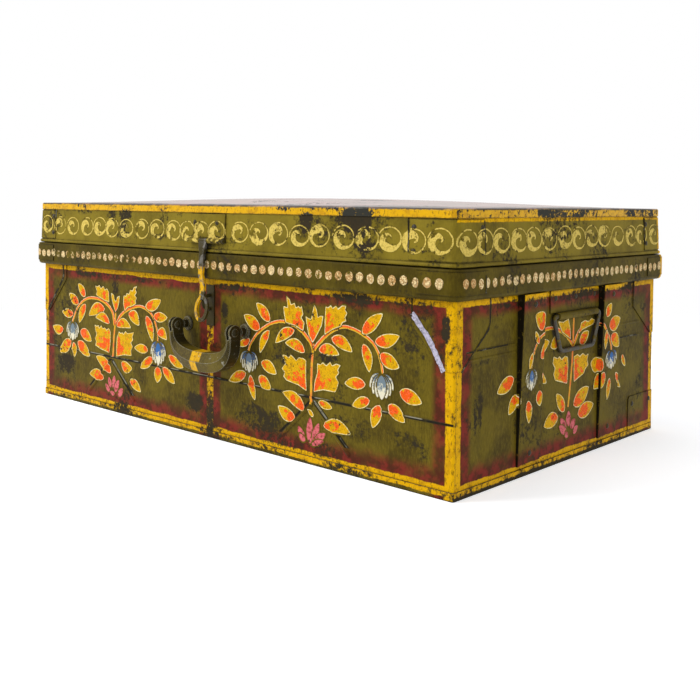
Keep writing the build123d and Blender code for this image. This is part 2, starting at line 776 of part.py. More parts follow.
def hasp():
    # side view of the bar, hanging straight down from the pin, x outwards
    half = hasp_thickness / 2
    line = [(0, 0), (hasp_bar_out, -8), (hasp_bar_out, -hasp_crank_start),
            (-hasp_ring_in, -hasp_crank_end), (-hasp_ring_in, -hasp_ring_drop)]
    ring_top = hasp_ring_drop - hasp_ring_height / 2 + hasp_ring_limb / 2
    back = [(x - half, z) for x, z in line[1:4]] + [(-hasp_ring_in - half, -ring_top)]
    front = [(x + half, z) for x, z in line[1:4]] + [(-hasp_ring_in + half, -ring_top)]
    side = polygon([(0, -hasp_pin_radius - 1)] + back + front[::-1] + [(half, hasp_pin_radius)])
    side_view = Plane((0, hasp_axis[0], hasp_axis[1]), x_dir=(0, -1, 0), z_dir=(-1, 0, 0))
    bar = extrude(side_view * side, hasp_ring_width, both=True)
    lean = hasp_ring_x - hasp_slot_x

    def centre_x(drop):
        return hasp_slot_x + lean * drop / hasp_ring_drop

    shape = [(-hasp_pin_radius - 2, hasp_knuckle_width / 2), (5, hasp_knuckle_width / 2),
             (16, hasp_neck_width / 2), (ring_top + 1, hasp_neck_width / 2)]
    left = [(centre_x(max(drop, 0)) - width, -drop) for drop, width in shape]
    right = [(centre_x(max(drop, 0)) + width, -drop) for drop, width in shape]
    front_view = Plane((0, hasp_axis[0], hasp_axis[1]), x_dir=(1, 0, 0), z_dir=(0, -1, 0))
    outline = extrude(front_view * polygon(left + right[::-1]), hasp_ring_width, both=True)
    bar = bar & outline
    ring_plane = Plane((hasp_ring_x, hasp_axis[0] + hasp_ring_in, hasp_axis[1] - hasp_ring_drop),
                       x_dir=(1, 0, 0), z_dir=(0, -1, 0))
    outer = Ellipse(hasp_ring_width / 2, hasp_ring_height / 2)
    inner = Ellipse(hasp_ring_width / 2 - hasp_ring_limb, hasp_ring_height / 2 - hasp_ring_limb)
    ring = extrude(ring_plane * (outer - inner), half, both=True)
    knuckle = rod((hasp_slot_x - hasp_knuckle_width / 2, *hasp_axis),
                  (hasp_slot_x + hasp_knuckle_width / 2, *hasp_axis), hasp_knuckle_radius)
    made = bar + ring + knuckle
    bore = rod((hasp_slot_x - hasp_ring_width, *hasp_axis), (hasp_slot_x + hasp_ring_width, *hasp_axis),
               hasp_pin_radius + pin_fit)
    made = made - bore
    pivot = Axis((0, *hasp_axis), (1, 0, 0))
    return made.rotate(pivot, -hasp_rest_tilt)


# Staple: a wire loop through a plate on the body. The hasp rests on its nose, not yet pushed home
ring_rest_out = (hasp_axis_out - hasp_ring_in * cos(radians(hasp_rest_tilt))
                 + hasp_ring_drop * sin(radians(hasp_rest_tilt)))
staple_reach = ring_rest_out - hasp_thickness / 2 - staple_clearance


def staple_plate():
    half = staple_plate_width / 2
    wall = -half_width
    plate = span_box(lock_line_x - half, lock_line_x + half, wall - staple_plate_sheet, wall,
                     staple_plate_centre - staple_plate_height / 2,
                     staple_plate_centre + staple_plate_height / 2)
    return plate - staple_legs(staple_wire_radius + rivet_fit)


def staple_legs(radius):
    legs = None
    wall = -half_width
    for side in (-1, 1):
        height = staple_centre + side * staple_half_height
        leg = rod((lock_line_x, wall + sheet + staple_inner_tail, height),
                  (lock_line_x, wall - staple_plate_sheet - 1, height), radius)
        legs = leg if legs is None else legs + leg
    return legs


def staple():
    wall = -half_width
    nose = wall - staple_reach + staple_wire_radius
    low = staple_centre - staple_half_height
    high = staple_centre + staple_half_height
    back = wall + sheet + staple_inner_tail
    path = FilletPolyline((lock_line_x, back, low), (lock_line_x, nose, low),
                          (lock_line_x, nose, high), (lock_line_x, back, high),
                          radius=staple_bend_radius)
    section = Plane((lock_line_x, back, low), z_dir=(0, -1, 0)) * Circle(staple_wire_radius)
    return sweep(section, path)


# Back hinges
hinge_axis = (half_width + hinge_out, hinge_axis_height)


def hinge_segments(centre_x):
    half = hinge_width / 2
    middle = hinge_centre_knuckle / 2
    outer = middle + hinge_knuckle_gap
    lid_part = [(centre_x - middle, centre_x + middle)]
    body_part = [(centre_x - half, centre_x - outer), (centre_x + outer, centre_x + half)]
    return lid_part, body_part


def body_leaf(centre_x):
    half = hinge_width / 2
    near = half_width + collar_out
    far = near + hinge_sheet
    shoulder = hinge_axis_height - hinge_leaf_clear
    leaf = span_box(centre_x - half, centre_x + half, near, far,
                    hinge_axis_height - hinge_leaf_drop, shoulder)
    for start, end in hinge_segments(centre_x)[1]:
        leaf = leaf + span_box(start, end, near, far, shoulder, hinge_axis_height)
        leaf = leaf + rod((start, *hinge_axis), (end, *hinge_axis), hinge_knuckle_radius)
    bore = rod((centre_x - half, *hinge_axis), (centre_x + half, *hinge_axis),
               hinge_pin_radius + pin_fit)
    return drill(leaf - bore, hinge_collar_spots)


def lid_leaf(centre_x):
    half = hinge_width / 2
    shoulder = hinge_axis_height + hinge_leaf_clear
    near = collar_out
    far = near + hinge_sheet
    low = hinge_axis_height + hinge_leaf_jog_low
    high = hinge_axis_height + hinge_leaf_jog_high
    top = hinge_axis_height + hinge_leaf_rise
    leaf_side = polygon([(near, shoulder), (far, shoulder), (far, low),
                         (lid_out(high) + hinge_sheet, high), (lid_out(top) + hinge_sheet, top),
                         (lid_out(top), top), (lid_out(high), high), (near, low)])
    web_side = polygon([(near, hinge_axis_height), (far, hinge_axis_height), (far, shoulder),
                        (near, shoulder)])
    leaf = mirror_y(front_run(leaf_side, centre_x - half, centre_x + half))
    for start, end in hinge_segments(centre_x)[0]:
        leaf = leaf + mirror_y(front_run(web_side, start, end))
        leaf = leaf + rod((start, *hinge_axis), (end, *hinge_axis), hinge_knuckle_radius)
    bore = rod((centre_x - half, *hinge_axis), (centre_x + half, *hinge_axis),
               hinge_pin_radius + pin_fit)
    return drill(leaf - bore, hinge_lid_spots)


def group(spots):
    return Compound(children=[rivet(spot) for spot in spots])


def build():
    save("bottom_pan", bottom_pan())
    save("body_front", body_front())
    save("body_back", mirror_y(long_wall()))
    right_end = end_wall()
    save("body_right_end", right_end)
    save("body_left_end", mirror_x(right_end))

    for name, strip in four_strips(collar_profile()).items():
        save("collar_" + name, drill(strip, hinge_collar_spots) if name == "back" else strip)
    for name, plate in four_corners(gusset()).items():
        save("gusset_" + name, plate)
    heel_patch = mirror_y(foot_patch())
    save("foot_patch_back_right", heel_patch)
    save("foot_patch_back_left", mirror_x(heel_patch))
    for name, plate in four_corners(collar_patch()).items():
        save("collar_patch_" + name, plate)
    for name, centre_y in (("front", strap_centres[0]), ("back", strap_centres[1])):
        strap = end_strap(centre_y)
        save("right_end_" + name + "_strap", strap)
        save("left_end_" + name + "_strap", mirror_x(strap))
    plate = handle_plate()
    save("right_handle_plate", plate)
    save("left_handle_plate", mirror_x(plate))
    bail = end_bail()
    save("right_bail", bail)
    save("left_bail", mirror_x(bail))

    save("foot_rivets", group(mirrored_spots(foot_spots, False, True)
                              + mirrored_spots(foot_spots, True, True)))
    both_straps = strap_spots(strap_centres[0]) + strap_spots(strap_centres[1])
    save("strap_rivets", group(both_straps + mirrored_spots(both_straps, True, False)))
    save("handle_plate_rivets", group(plate_spots + mirrored_spots(plate_spots, True, False)))
    save("hinge_rivets_body", group(hinge_collar_spots))

    save("handle_eye_left", handle_eye(-1))
    save("handle_eye_right", handle_eye(1))
    save("front_handle", front_handle())
    save("staple_plate", staple_plate())
    save("staple", staple())

    save("lid_top", lid_top())
    right_patches = lid_patch_spots(lid_patch_right_leg)
    right_patches = right_patches + mirrored_spots(right_patches, False, True)
    left_patches = mirrored_spots(lid_patch_spots(lid_patch_left_leg), True, False)
    left_patches = left_patches + mirrored_spots(left_patches, False, True)
    lid_spots = right_patches + left_patches + hasp_plate_spots + hinge_lid_spots
    for name, strip in four_strips(lid_wall_profile()).items():
        save("lid_" + name + "_strip", drill(strip, [spot for spot in lid_spots
                                                     if side_of(spot) == name]))
    wires = four_strips(rim_wire_profile())
    save("lid_rim_wire", wires["front"] + wires["back"] + wires["right"] + wires["left"])
    for side, leg in (("right", lid_patch_right_leg), ("left", lid_patch_left_leg)):
        for name, plate in four_corners(lid_patch(leg)).items():
            if name.endswith(side):
                save("lid_patch_" + name, plate)
    save("lid_rivets", group(lid_spots))
    save("hasp_hinge_plate", hasp_hinge_plate())
    save("hasp_pin", headed_pin(lock_line_x - hasp_plate_left, lock_line_x + hasp_plate_right,
                                hasp_axis, hasp_pin_radius))
    save("hasp", hasp())

    for side, name in ((-1, "left"), (1, "right")):
        centre_x = side * hinge_x
        save(name + "_hinge_body_leaf", body_leaf(centre_x))
        save(name + "_hinge_lid_leaf", lid_leaf(centre_x))
        save(name + "_hinge_pin", headed_pin(centre_x - hinge_width / 2, centre_x + hinge_width / 2,
                                             hinge_axis, hinge_pin_radius))


build()
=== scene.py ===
import fnmatch
import math
import random

import bmesh
import bpy
from mathutils import Matrix, Vector
from mathutils.bvhtree import BVHTree
from mathutils.noise import noise as noiseAt


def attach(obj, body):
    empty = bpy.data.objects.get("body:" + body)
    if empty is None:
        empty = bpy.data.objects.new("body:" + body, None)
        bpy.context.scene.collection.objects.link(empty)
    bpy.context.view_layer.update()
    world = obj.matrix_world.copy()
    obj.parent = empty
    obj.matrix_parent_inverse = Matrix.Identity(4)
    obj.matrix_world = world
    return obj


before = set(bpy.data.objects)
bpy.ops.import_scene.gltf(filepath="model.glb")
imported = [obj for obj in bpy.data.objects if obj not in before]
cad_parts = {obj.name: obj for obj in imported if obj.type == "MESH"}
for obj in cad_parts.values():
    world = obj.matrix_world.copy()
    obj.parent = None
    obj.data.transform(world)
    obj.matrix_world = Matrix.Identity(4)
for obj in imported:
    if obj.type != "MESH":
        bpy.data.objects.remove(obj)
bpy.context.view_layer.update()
print("stage: frame loaded")

mm = 0.001
trunk = {"halfLength": 381.0, "halfWidth": 218.0}
# The node tree that add() works on, and the place of each point, which moves with its sheet
canvas = {"tree": None, "place": None}


# Colours are written as on screen and turned to linear here
def toLinear(code):
    channels = []
    for start in (1, 3, 5):
        value = int(code[start:start + 2], 16) / 255
        channels.append(value / 12.92 if value < 0.04045 else ((value + 0.055) / 1.055) ** 2.4)
    return (*channels, 1.0)


# Short names: the node, its settings, the inputs that values fill in order, and the output used
shortNames = {
    "ramp": ("MapRange", {"interpolation_type": "SMOOTHSTEP"},
             ("Value", "From Min", "From Max", "To Min", "To Max"), 0),
    "mix": ("Mix", {"data_type": "RGBA"}, (0, 6, 7), 2),
    "pick": ("Mix", {}, (0, 3, 2), 0),
}
sums = {"plus": "ADD", "minus": "SUBTRACT", "times": "MULTIPLY", "most": "MAXIMUM", "least": "MINIMUM",
        "size": "ABSOLUTE", "sign": "SIGN", "above": "GREATER_THAN", "below": "LESS_THAN"}
for short, operation in sums.items():
    shortNames[short] = ("Math", {"operation": operation}, (0, 1), 0)


# Adds a node with its settings, and fills each input with a link, a value or a screen colour
def add(kind, *values, inputs=None, output=0, **settings):
    full, fixed, order, output = shortNames.get(kind, (kind, {}, range(len(values)), output))
    node = canvas["tree"].nodes.new("ShaderNode" + full)
    for key, value in {**fixed, **settings}.items():
        setattr(node, key, value)
    for key, value in {**dict(zip(order, values)), **(inputs or {})}.items():
        if isinstance(value, bpy.types.NodeSocket):
            canvas["tree"].links.new(value, node.inputs[key])
        else:
            node.inputs[key].default_value = toLinear(value) if isinstance(value, str) else value
    if output is None:
        return node.outputs
    return node.outputs[output] if node.outputs else node


# Joins any number of values by one operation
def join(kind, first, *rest):
    for value in rest:
        first = add(kind, first, value)
    return first


# Noise whose grain is given in millimetres
def noise(grain, detail=3.0, roughness=0.55, stretch=(1, 1, 1), shift=0.0):
    moved = add("Mapping", inputs={"Vector": canvas["place"], "Scale": stretch,
                                   "Location": (shift, shift * 0.7, shift * 0.3)})
    return add("TexNoise", inputs={"Vector": moved, "Scale": 1.0 / (grain * mm), "Detail": detail,
                                   "Roughness": roughness})


# Lays one colour over another in soft patches: the noise's grain, detail, roughness and shift, the
# levels where a patch starts and is full, and its least and greatest strength
def patches(under, over, grain, detail, roughness, shift, low, high, least=0.0, most=1.0,
            stretch=(1, 1, 1)):
    level = noise(grain, detail, roughness, stretch, shift)
    return add("mix", add("ramp", level, low, high, least, most), under, over)


def newMaterial(name):
    material = bpy.data.materials.new(name)
    material.use_nodes = True
    canvas["tree"] = material.node_tree
    canvas["tree"].nodes.clear()
    canvas["place"] = add("TexCoord", output=3)
    return material


# Rounds hard edges by a real radius and adds fine relief on top
def relief(edge, layers):
    normal = add("Bevel", inputs={"Radius": edge * mm}, samples=4)
    for height, depth in layers:
        normal = add("Bump", inputs={"Height": height, "Distance": depth * mm, "Strength": 1.0,
                                     "Normal": normal})
    return normal


def finishMaterial(colour, roughness, normal, metallic=0.0, coat=0.0, gloss=0.05):
    shader = add("BsdfPrincipled", inputs={
        "Base Color": colour, "Roughness": roughness, "Normal": normal, "Metallic": metallic,
        "Coat Weight": coat, "Coat Roughness": 0.25, "Specular IOR Level": gloss})
    add("OutputMaterial", shader)


# How far an edge is rubbed: the rounded normal leaves the flat one near a corner
def edgeRub(radius):
    rounded = add("Bevel", inputs={"Radius": radius * mm}, samples=4)
    agree = add("VectorMath", rounded, add("NewGeometry", output=1), operation="DOT_PRODUCT", output=1)
    return add("ramp", agree, 0.995, 0.9)


# Chips run through every layer of paint alike, so all paints ask for them here
chips = {"grain": 5.5, "patchGrain": 62.0, "start": 0.775, "soft": 0.025, "halo": 0.085,
         "haloInto": 0.01, "haloMost": 0.62, "dark": "#26251d", "rust": "#3c301c", "soot": "#221f14"}

# Places where knocks and damp have taken the paint: face, along, height, half sizes, strength
knocks = {
    "front": ((36, 158, 6, 13, 0.185), (-323, 52, 22, 13, 0.16), (-22, 40, 18, 12, 0.18),
              (97, 38, 44, 17, 0.19), (160, 20, 60, 10, 0.14), (-218, 187, 80, 4, 0.17),
              (-150, 186, 60, 3, 0.15), (-196, 174, 10, 11, 0.19), (371, 170, 5, 13, 0.2),
              (60, 189, 60, 4, 0.13), (8.8, 45, 7, 46, 0.12), (8.8, 150, 7, 30, 0.06),
              (250, 52, 40, 12, 0.1), (320, 50, 26, 8, 0.11), (344, 38, 9, 16, 0.13),
              (205, 122, 26, 5, 0.16), (100, 168, 20, 5, 0.08), (255, 190, 60, 4, 0.12)),
    "end": ((-173, 100, 5, 34, 0.16), (-181, 92, 3, 34, 0.12), (186, 164, 9, 8, 0.17),
            (-60, 188, 80, 5, 0.13), (60, 190, 90, 4, 0.12), (182, 60, 10, 20, 0.1),
            (-168, 132, 14, 4, 0.15), (-20, 1, 240, 3.5, 0.16)),
    "lid": ((255, 276, 20, 16, 0.18), (178, 272, 10, 12, 0.16), (-166, 273, 14, 9, 0.15),
            (-203, 270, 11, 8, 0.15), (150, 290, 110, 7, 0.1), (190, 262, 60, 12, 0.05),
            (-250, 280, 70, 9, 0.07), (-130, 246, 90, 5, 0.08), (-340, 262, 20, 16, 0.07),
            (60, 246, 150, 4, 0.07), (300, 247, 60, 5, 0.09)),
}


def chipLevel(amount):
    fine = noise(chips["grain"], 6.0, 0.72)
    patch = noise(chips["patchGrain"], 2.0, 0.5, shift=3.1)
    return join("plus", add("times", fine, 0.72), add("times", patch, 0.55), amount)


def chipMask(amount):
    return add("ramp", chipLevel(amount), chips["start"], chips["start"] + chips["soft"])


# What shows where the paint has gone: tinned iron, dark with rust
def underPaint():
    return add("mix", noise(6.0, 3.0), chips["dark"], chips["rust"])


# Paint darkened with damp and soot around each chip
def chipHalo(amount, colour):
    low, high = chips["start"] - chips["halo"], chips["start"] + chips["haloInto"]
    halo = add("ramp", chipLevel(amount), low, high, 0.0, chips["haloMost"])
    return add("mix", halo, colour, chips["soot"])


# Adds the strength of every knock on one face, each a soft round bump
def knockSum(at, face):
    along, test = (at["y"], at["onEnd"]) if face == "end" else (at["x"], at["onFront"])
    bumps = []
    for middle, level, halfAlong, halfHeight, strength in knocks[face]:
        offX = add("times", add("minus", along, middle), 1 / halfAlong)
        offZ = add("times", add("minus", at["z"], level), 1 / halfHeight)
        away = add("plus", add("times", offX, offX), add("times", offZ, offZ))
        bumps.append(add("ramp", away, 0.2, 1.9, strength, 0.0))
    return add("times", join("most", *bumps), test)


# Old olive oil paint brushed on sheet iron: satin, streaked by the brush, blotched with grime.
# Real brush marks are finer than 1.6 mm and are drawn that coarse so that they show.
olive = {"light": "#75651b", "mid": "#615312", "deep": "#45390d", "grime": "#2f2a10",
         "blotch": (46.0, 4.0, 0.6, 0.0, 0.36, 0.60), "brush": 1.6, "dent": 55.0,
         "grimy": (80.0, 5.0, 0.66, 5.3, 0.54, 0.72, 0.0, 0.5)}


def oliveGround():
    brushed = noise(olive["brush"], 4.0, 0.65, stretch=(1, 1, 0.3), shift=1.7)
    colour = patches(olive["deep"], olive["mid"], *olive["blotch"])
    colour = add("mix", add("ramp", brushed, 0.44, 0.66, 0.0, 0.4), colour, olive["light"])
    colour = add("mix", add("ramp", brushed, 0.36, 0.46, 0.16, 0.0), colour, olive["grime"])
    return patches(colour, olive["grime"], *olive["grimy"])


def oliveRelief(edge):
    dents = noise(olive["dent"], 2.0, 0.5, shift=7.7)
    brushed = noise(1.4, 3.0, 0.6, stretch=(1, 1, 0.25))
    return relief(edge, ((dents, 1.3), (brushed, 0.06)))


# Black grease in seams, under the collar and round every plate, together with painted shade: ambient
# occlusion darkens each crevice where shade falls
def creviceGreaseAndShade(colour):
    nook = add("AmbientOcclusion", inputs={"Distance": 7.0 * mm}, samples=6, output=1)
    loose = noise(8.0, 3.0, 0.6, shift=0.4)
    depth = add("minus", 1.0, add("plus", nook, add("times", loose, 0.25)))
    return add("mix", add("ramp", depth, 0.16, 0.46, 0.0, 0.9), colour, "#1b180c")


# Coordinates in millimetres, and which side of the trunk a point lies on
def sides():
    x, y, z = (add("times", part, 1 / mm) for part in add("SeparateXYZ", canvas["place"], output=None))
    reachX = add("minus", add("size", x), trunk["halfLength"])
    reachY = add("minus", add("size", y), trunk["halfWidth"])
    onEnd = add("above", reachX, reachY)
    offEnd = add("minus", 1.0, onEnd)
    onBack = add("times", add("above", y, 0.0), offEnd)
    return {"x": x, "y": y, "z": z, "onEnd": onEnd, "onBack": onBack,
            "onFront": add("minus", offEnd, onBack),
            "fromFrontCorner": add("times", reachX, -1.0),
            "fromEndCorner": add("times", reachY, -1.0)}


# Which way the sheet faces, in the part's own frame; inward is 1 on faces turned into the trunk
def facing(at):
    x, y, up = add("SeparateXYZ", add("TexCoord", output=1), output=None)
    outX = add("times", x, add("sign", at["x"]))
    outY = add("times", y, add("sign", at["y"]))
    inward = add("below", add("pick", at["onEnd"], outX, outY), -0.2)
    return {"x": x, "y": y, "up": up, "inward": inward}


# Inside of the trunk: bare tinned sheet gone grey, with rust blooming where damp lay
tin = {"grey": "#746e62", "dull": "#57503f", "rust": "#5a3a1e",
       "cloud": (60.0, 5.0, 0.6, 6.6, 0.38, 0.6),
       "bloom": (22.0, 6.0, 0.74, 2.9, 0.54, 0.68, 0.0, 0.85)}


def bareTin():
    return patches(patches(tin["dull"], tin["grey"], *tin["cloud"]), tin["rust"], *tin["bloom"])


# 1 between two levels and 0 outside them
def band(value, low, high, soft=0.6, softHigh=None):
    rise = add("ramp", value, low - soft, low + soft)
    fall = add("ramp", value, high - (softHigh or soft), high + (softHigh or soft), 1.0, 0.0)
    return add("times", rise, fall)


# Uneven edge of a band of brushed paint, in millimetres either way
def raggedEdge():
    return add("times", add("minus", noise(5.0, 4.0, 0.7), 0.5), 3.0)


border = {"footLow": 4.0, "footHigh": 14.0, "topLow": 190.8, "topHigh": 240.0, "frontSide": 10.3,
          "endFrontSide": 11.8, "endBackSide": 10.5, "maroonReach": 14.0, "dividerMiddle": 8.8,
          "dividerLow": 5.4, "dividerHigh": 6.4, "dividerMaroonHalf": 20.5}


# Yellow outer lines and maroon shading inside them, painted by hand over body, plates and straps
def bodyBorders(at):
    wobble = add("times", add("minus", noise(38.0, 2.0, shift=2.2), 0.5), 5.0)
    ragged = raggedEdge()
    drift = add("plus", wobble, ragged)
    height = add("plus", at["z"], drift)
    corner = add("plus", add("pick", at["onEnd"], at["fromEndCorner"], at["fromFrontCorner"]),
                 add("times", drift, 0.7))
    backHalf = add("above", at["y"], 0.0)
    endLimit = add("pick", backHalf, border["endBackSide"], border["endFrontSide"])
    limit = add("pick", at["onEnd"], endLimit, border["frontSide"])
    past = add("minus", corner, limit)
    middle = border["dividerMiddle"]
    fromDivider = add("size", add("minus", add("plus", at["x"], ragged), middle))
    fromMaroon = add("size", add("minus", add("plus", at["x"], drift), middle))
    patchy = add("ramp", noise(13.0, 4.0, 0.7, stretch=(1, 1, 0.5), shift=3.3), 0.44, 0.5)
    divider = add("ramp", fromDivider, border["dividerLow"], border["dividerHigh"], 1.0, 0.0)
    lines = join("most", band(height, border["footLow"], border["footHigh"]),
                 band(height, border["topLow"], border["topHigh"]),
                 add("ramp", past, -0.6, 0.6, 1.0, 0.0), join("times", at["onFront"], divider, patchy))
    reach = border["maroonReach"]
    half = border["dividerMaroonHalf"]
    shade = join("most", band(height, border["footHigh"], border["footHigh"] + reach, 0.6, 8.0),
                 band(height, border["topLow"] - reach + 3.0, border["topLow"], 5.0, 0.6),
                 add("ramp", past, reach - 4.0, reach + 6.0, 1.0, 0.0),
                 add("times", at["onFront"], add("ramp", fromMaroon, half - 3.0, half + 2.0, 1.0, 0.0)))
    return lines, shade


# Yellow line paint: strong and flat, duller where it is thin, with dirt caught in its streaks
yellow = {"bright": "#d6a300", "dull": "#be8c06", "deep": "#62460c",
          "tone": (14.0, 4.0, 0.6, 4.4, 0.34, 0.5), "dirt": (2.4, 4.0, 0.7, 9.1, 0.55, 0.63, 0.0, 0.7)}


def yellowPaint():
    colour = patches(yellow["dull"], yellow["bright"], *yellow["tone"])
    return patches(colour, yellow["deep"], *yellow["dirt"], stretch=(1, 1, 0.5))


# Maroon shading scumbled on with a dry brush, brown where it is thin
maroon = {"red": "#76281f", "brown": "#4c2314", "tone": (14.0, 4.0, 0.6, 6.2, 0.4, 0.62)}


def maroonPaint():
    return patches(maroon["brown"], maroon["red"], *maroon["tone"])


# Pressed lines lose their paint first: the straight swage and the two inverted V ribs
pressed = {"swage": 75.5, "crest": 76.3, "apexes": (-206.0, 188.0), "apexHeight": 74.0,
           "footReach": 54.0, "footHeight": 27.0}
farAway = 100.0  # taken off the gap within a rib's own height, so that only those points count


# Distance in millimetres from a straight line drawn on the front between two points
def lineGap(at, start, end):
    run = (end[0] - start[0], end[1] - start[1])
    length = math.hypot(*run)
    across = add("plus", add("times", at["x"], run[1] / length),
                 add("times", at["z"], -run[0] / length))
    offset = (start[0] * run[1] - start[1] * run[0]) / length
    gap = add("size", add("minus", across, offset))
    low, high = sorted((start[1], end[1]))
    return add("plus", gap, add("times", band(at["z"], low, high, 1.5), -farAway))


# Where paint is lost over the pressed lines, and a painted highlight along the swage's crest and the
# right limbs of the V ribs
def ribWearAndHighlight(at):
    gaps = [lineGap(at, (apex, pressed["apexHeight"]),
                    (apex + side * pressed["footReach"], pressed["footHeight"]))
            for apex in pressed["apexes"] for side in (-1, 1)]
    rib = add("ramp", join("least", *gaps), 1.6 - farAway, 2.6 - farAway, 1.0, 0.0)
    core = add("ramp", add("least", gaps[1], gaps[3]), 0.5 - farAway, 1.1 - farAway, 1.0, 0.0)
    swage = add("ramp", add("size", add("minus", at["z"], pressed["swage"])), 0.9, 1.8, 1.0, 0.0)
    crest = add("ramp", add("size", add("minus", at["z"], pressed["crest"])), 0.3, 0.7, 1.0, 0.0)
    worn = add("ramp", noise(18.0, 4.0, 0.7, shift=6.9), 0.34, 0.46, 0.5, 1.0)
    glint = add("ramp", noise(30.0, 3.0, 0.6, shift=2.7), 0.46, 0.54)
    mask = join("times", add("most", rib, swage), worn, at["onFront"])
    return mask, add("times", add("most", core, crest), glint)


# How each kind of sheet is rubbed at its edges
rubs = {"body": {"radius": 1.6, "grain": 9.0, "shift": 1.1, "from": 0.42, "to": 0.55},
        "lid": {"radius": 1.8, "grain": 12.0, "shift": 1.4, "from": 0.42, "to": 0.56},
        "top": {"radius": 2.2, "grain": 12.0, "shift": 1.4, "from": 0.38, "to": 0.5}}


def rubbedEdges(kind, strength):
    rub = rubs[kind]
    worn = noise(rub["grain"], 4.0, 0.7, shift=rub["shift"])
    worn = add("ramp", worn, rub["from"], rub["to"], 0.0, strength)
    return add("times", edgeRub(rub["radius"]), worn)


# Every painted sheet ends alike: chips, rubbed edges, bare tin inside, and grease with painted shade in
# its seams
def wearAndFinish(colour, amount, rubbed, inside, edge):
    colour = chipHalo(amount, colour)
    bare = add("most", chipMask(amount), rubbed)
    colour = add("mix", bare, colour, underPaint())
    colour = creviceGreaseAndShade(add("mix", inside, colour, bareTin()))
    finishMaterial(colour, add("pick", bare, 0.66, 0.46), oliveRelief(edge))


# Colours of a strap's darkened flank and of bare pressed ribs, the ribs' pale painted highlight, and
# how high the pan's bare floor reaches
bodyLook = {"flank": "#17130b", "rib": "#1d1a10", "glint": "#8b8875", "panFloor": 12.0}


# Painted body: olive ground, maroon shading, yellow lines, then chips and rubbed edges
def bodyPaint(name, chipAmount, lineChips, edge=0.8, rub=0.5, ribs=False, darkSide=False):
    material = newMaterial(name)
    at = sides()
    way = facing(at)
    lines, shade = bodyBorders(at)
    thin = add("ramp", noise(30.0, 3.0, 0.6, shift=8.0), 0.3, 0.55, 0.6, 1.0)
    colour = add("mix", add("times", shade, thin), oliveGround(), maroonPaint())
    colour = add("mix", lines, colour, yellowPaint())
    if darkSide:
        # the front-facing flank of a raised strap, darkened in scuffed patches: scuffs and painted
        # shade
        flank = add("ramp", way["y"], -0.7, -0.8)
        scuffed = add("ramp", noise(7.0, 4.0, 0.7, shift=5.2), 0.36, 0.42)
        colour = add("mix", add("times", flank, scuffed), colour, bodyLook["flank"])
    if ribs:
        ribMask, glint = ribWearAndHighlight(at)
        # bare dark iron on the ribs, with a painted highlight along their tops
        colour = add("mix", ribMask, colour, add("mix", glint, bodyLook["rib"], bodyLook["glint"]))
    amount = join("plus", add("times", lines, lineChips), chipAmount, knockSum(at, "front"),
                  knockSum(at, "end"))
    panFloor = add("times", add("above", way["up"], 0.5), add("below", at["z"], bodyLook["panFloor"]))
    wearAndFinish(colour, amount, rubbedEdges("body", rub), add("most", way["inward"], panFloor), edge)
    return material


# Lid and collar: olive walls, clouded by sun and soot, with painted shade on the collar, and a yellow
# line under the top's fold
lid = {"endLineDrop": 4.0, "backCorner": 213.0, "wornFrom": 262.0, "wornTo": 282.0, "wornChips": 0.03,
       "endChips": 0.025}


def lidPaint(name, chipAmount, lineLow, tone, toneShare):
    material = newMaterial(name)
    at = sides()
    ragged = raggedEdge()
    low = add("pick", at["onEnd"], lineLow - lid["endLineDrop"], lineLow)
    line = add("ramp", add("minus", add("plus", at["z"], ragged), low), -0.5, 0.5)
    corner = add("ramp", add("plus", at["y"], ragged), lid["backCorner"], lid["backCorner"] + 1.0)
    line = add("most", line, add("times", at["onEnd"], corner))
    colour = patches(oliveGround(), tone, 64.0, 5.0, 0.66, 4.7, 0.36, 0.58, 0.25, toneShare)
    colour = add("mix", line, colour, yellowPaint())
    high = add("ramp", at["z"], lid["wornFrom"], lid["wornTo"], 0.0, lid["wornChips"])
    amount = join("plus", high, chipAmount, knockSum(at, "lid"),
                  add("times", at["onEnd"], lid["endChips"]))
    wearAndFinish(colour, amount, rubbedEdges("lid", 0.75), facing(at)["inward"], 0.8)
    return material


# Lid's top sheet: dusty old rose paint, glossy enough to mirror a white room at a low angle
topSheet = {"rose": "#8f5a4a", "brown": "#6b4a35", "pale": "#a98472", "foldLow": 286.6,
            "foldHigh": 288.2, "rimLow": 286.4, "rimHigh": 289.6, "foldChips": 0.035,
            "endFoldChips": 0.13, "coat": 0.6, "gloss": 0.16,
            "tone": (70.0, 5.0, 0.6, 0.0, 0.35, 0.65),
            "dust": (24.0, 5.0, 0.7, 3.0, 0.5, 0.72, 0.0, 0.6)}


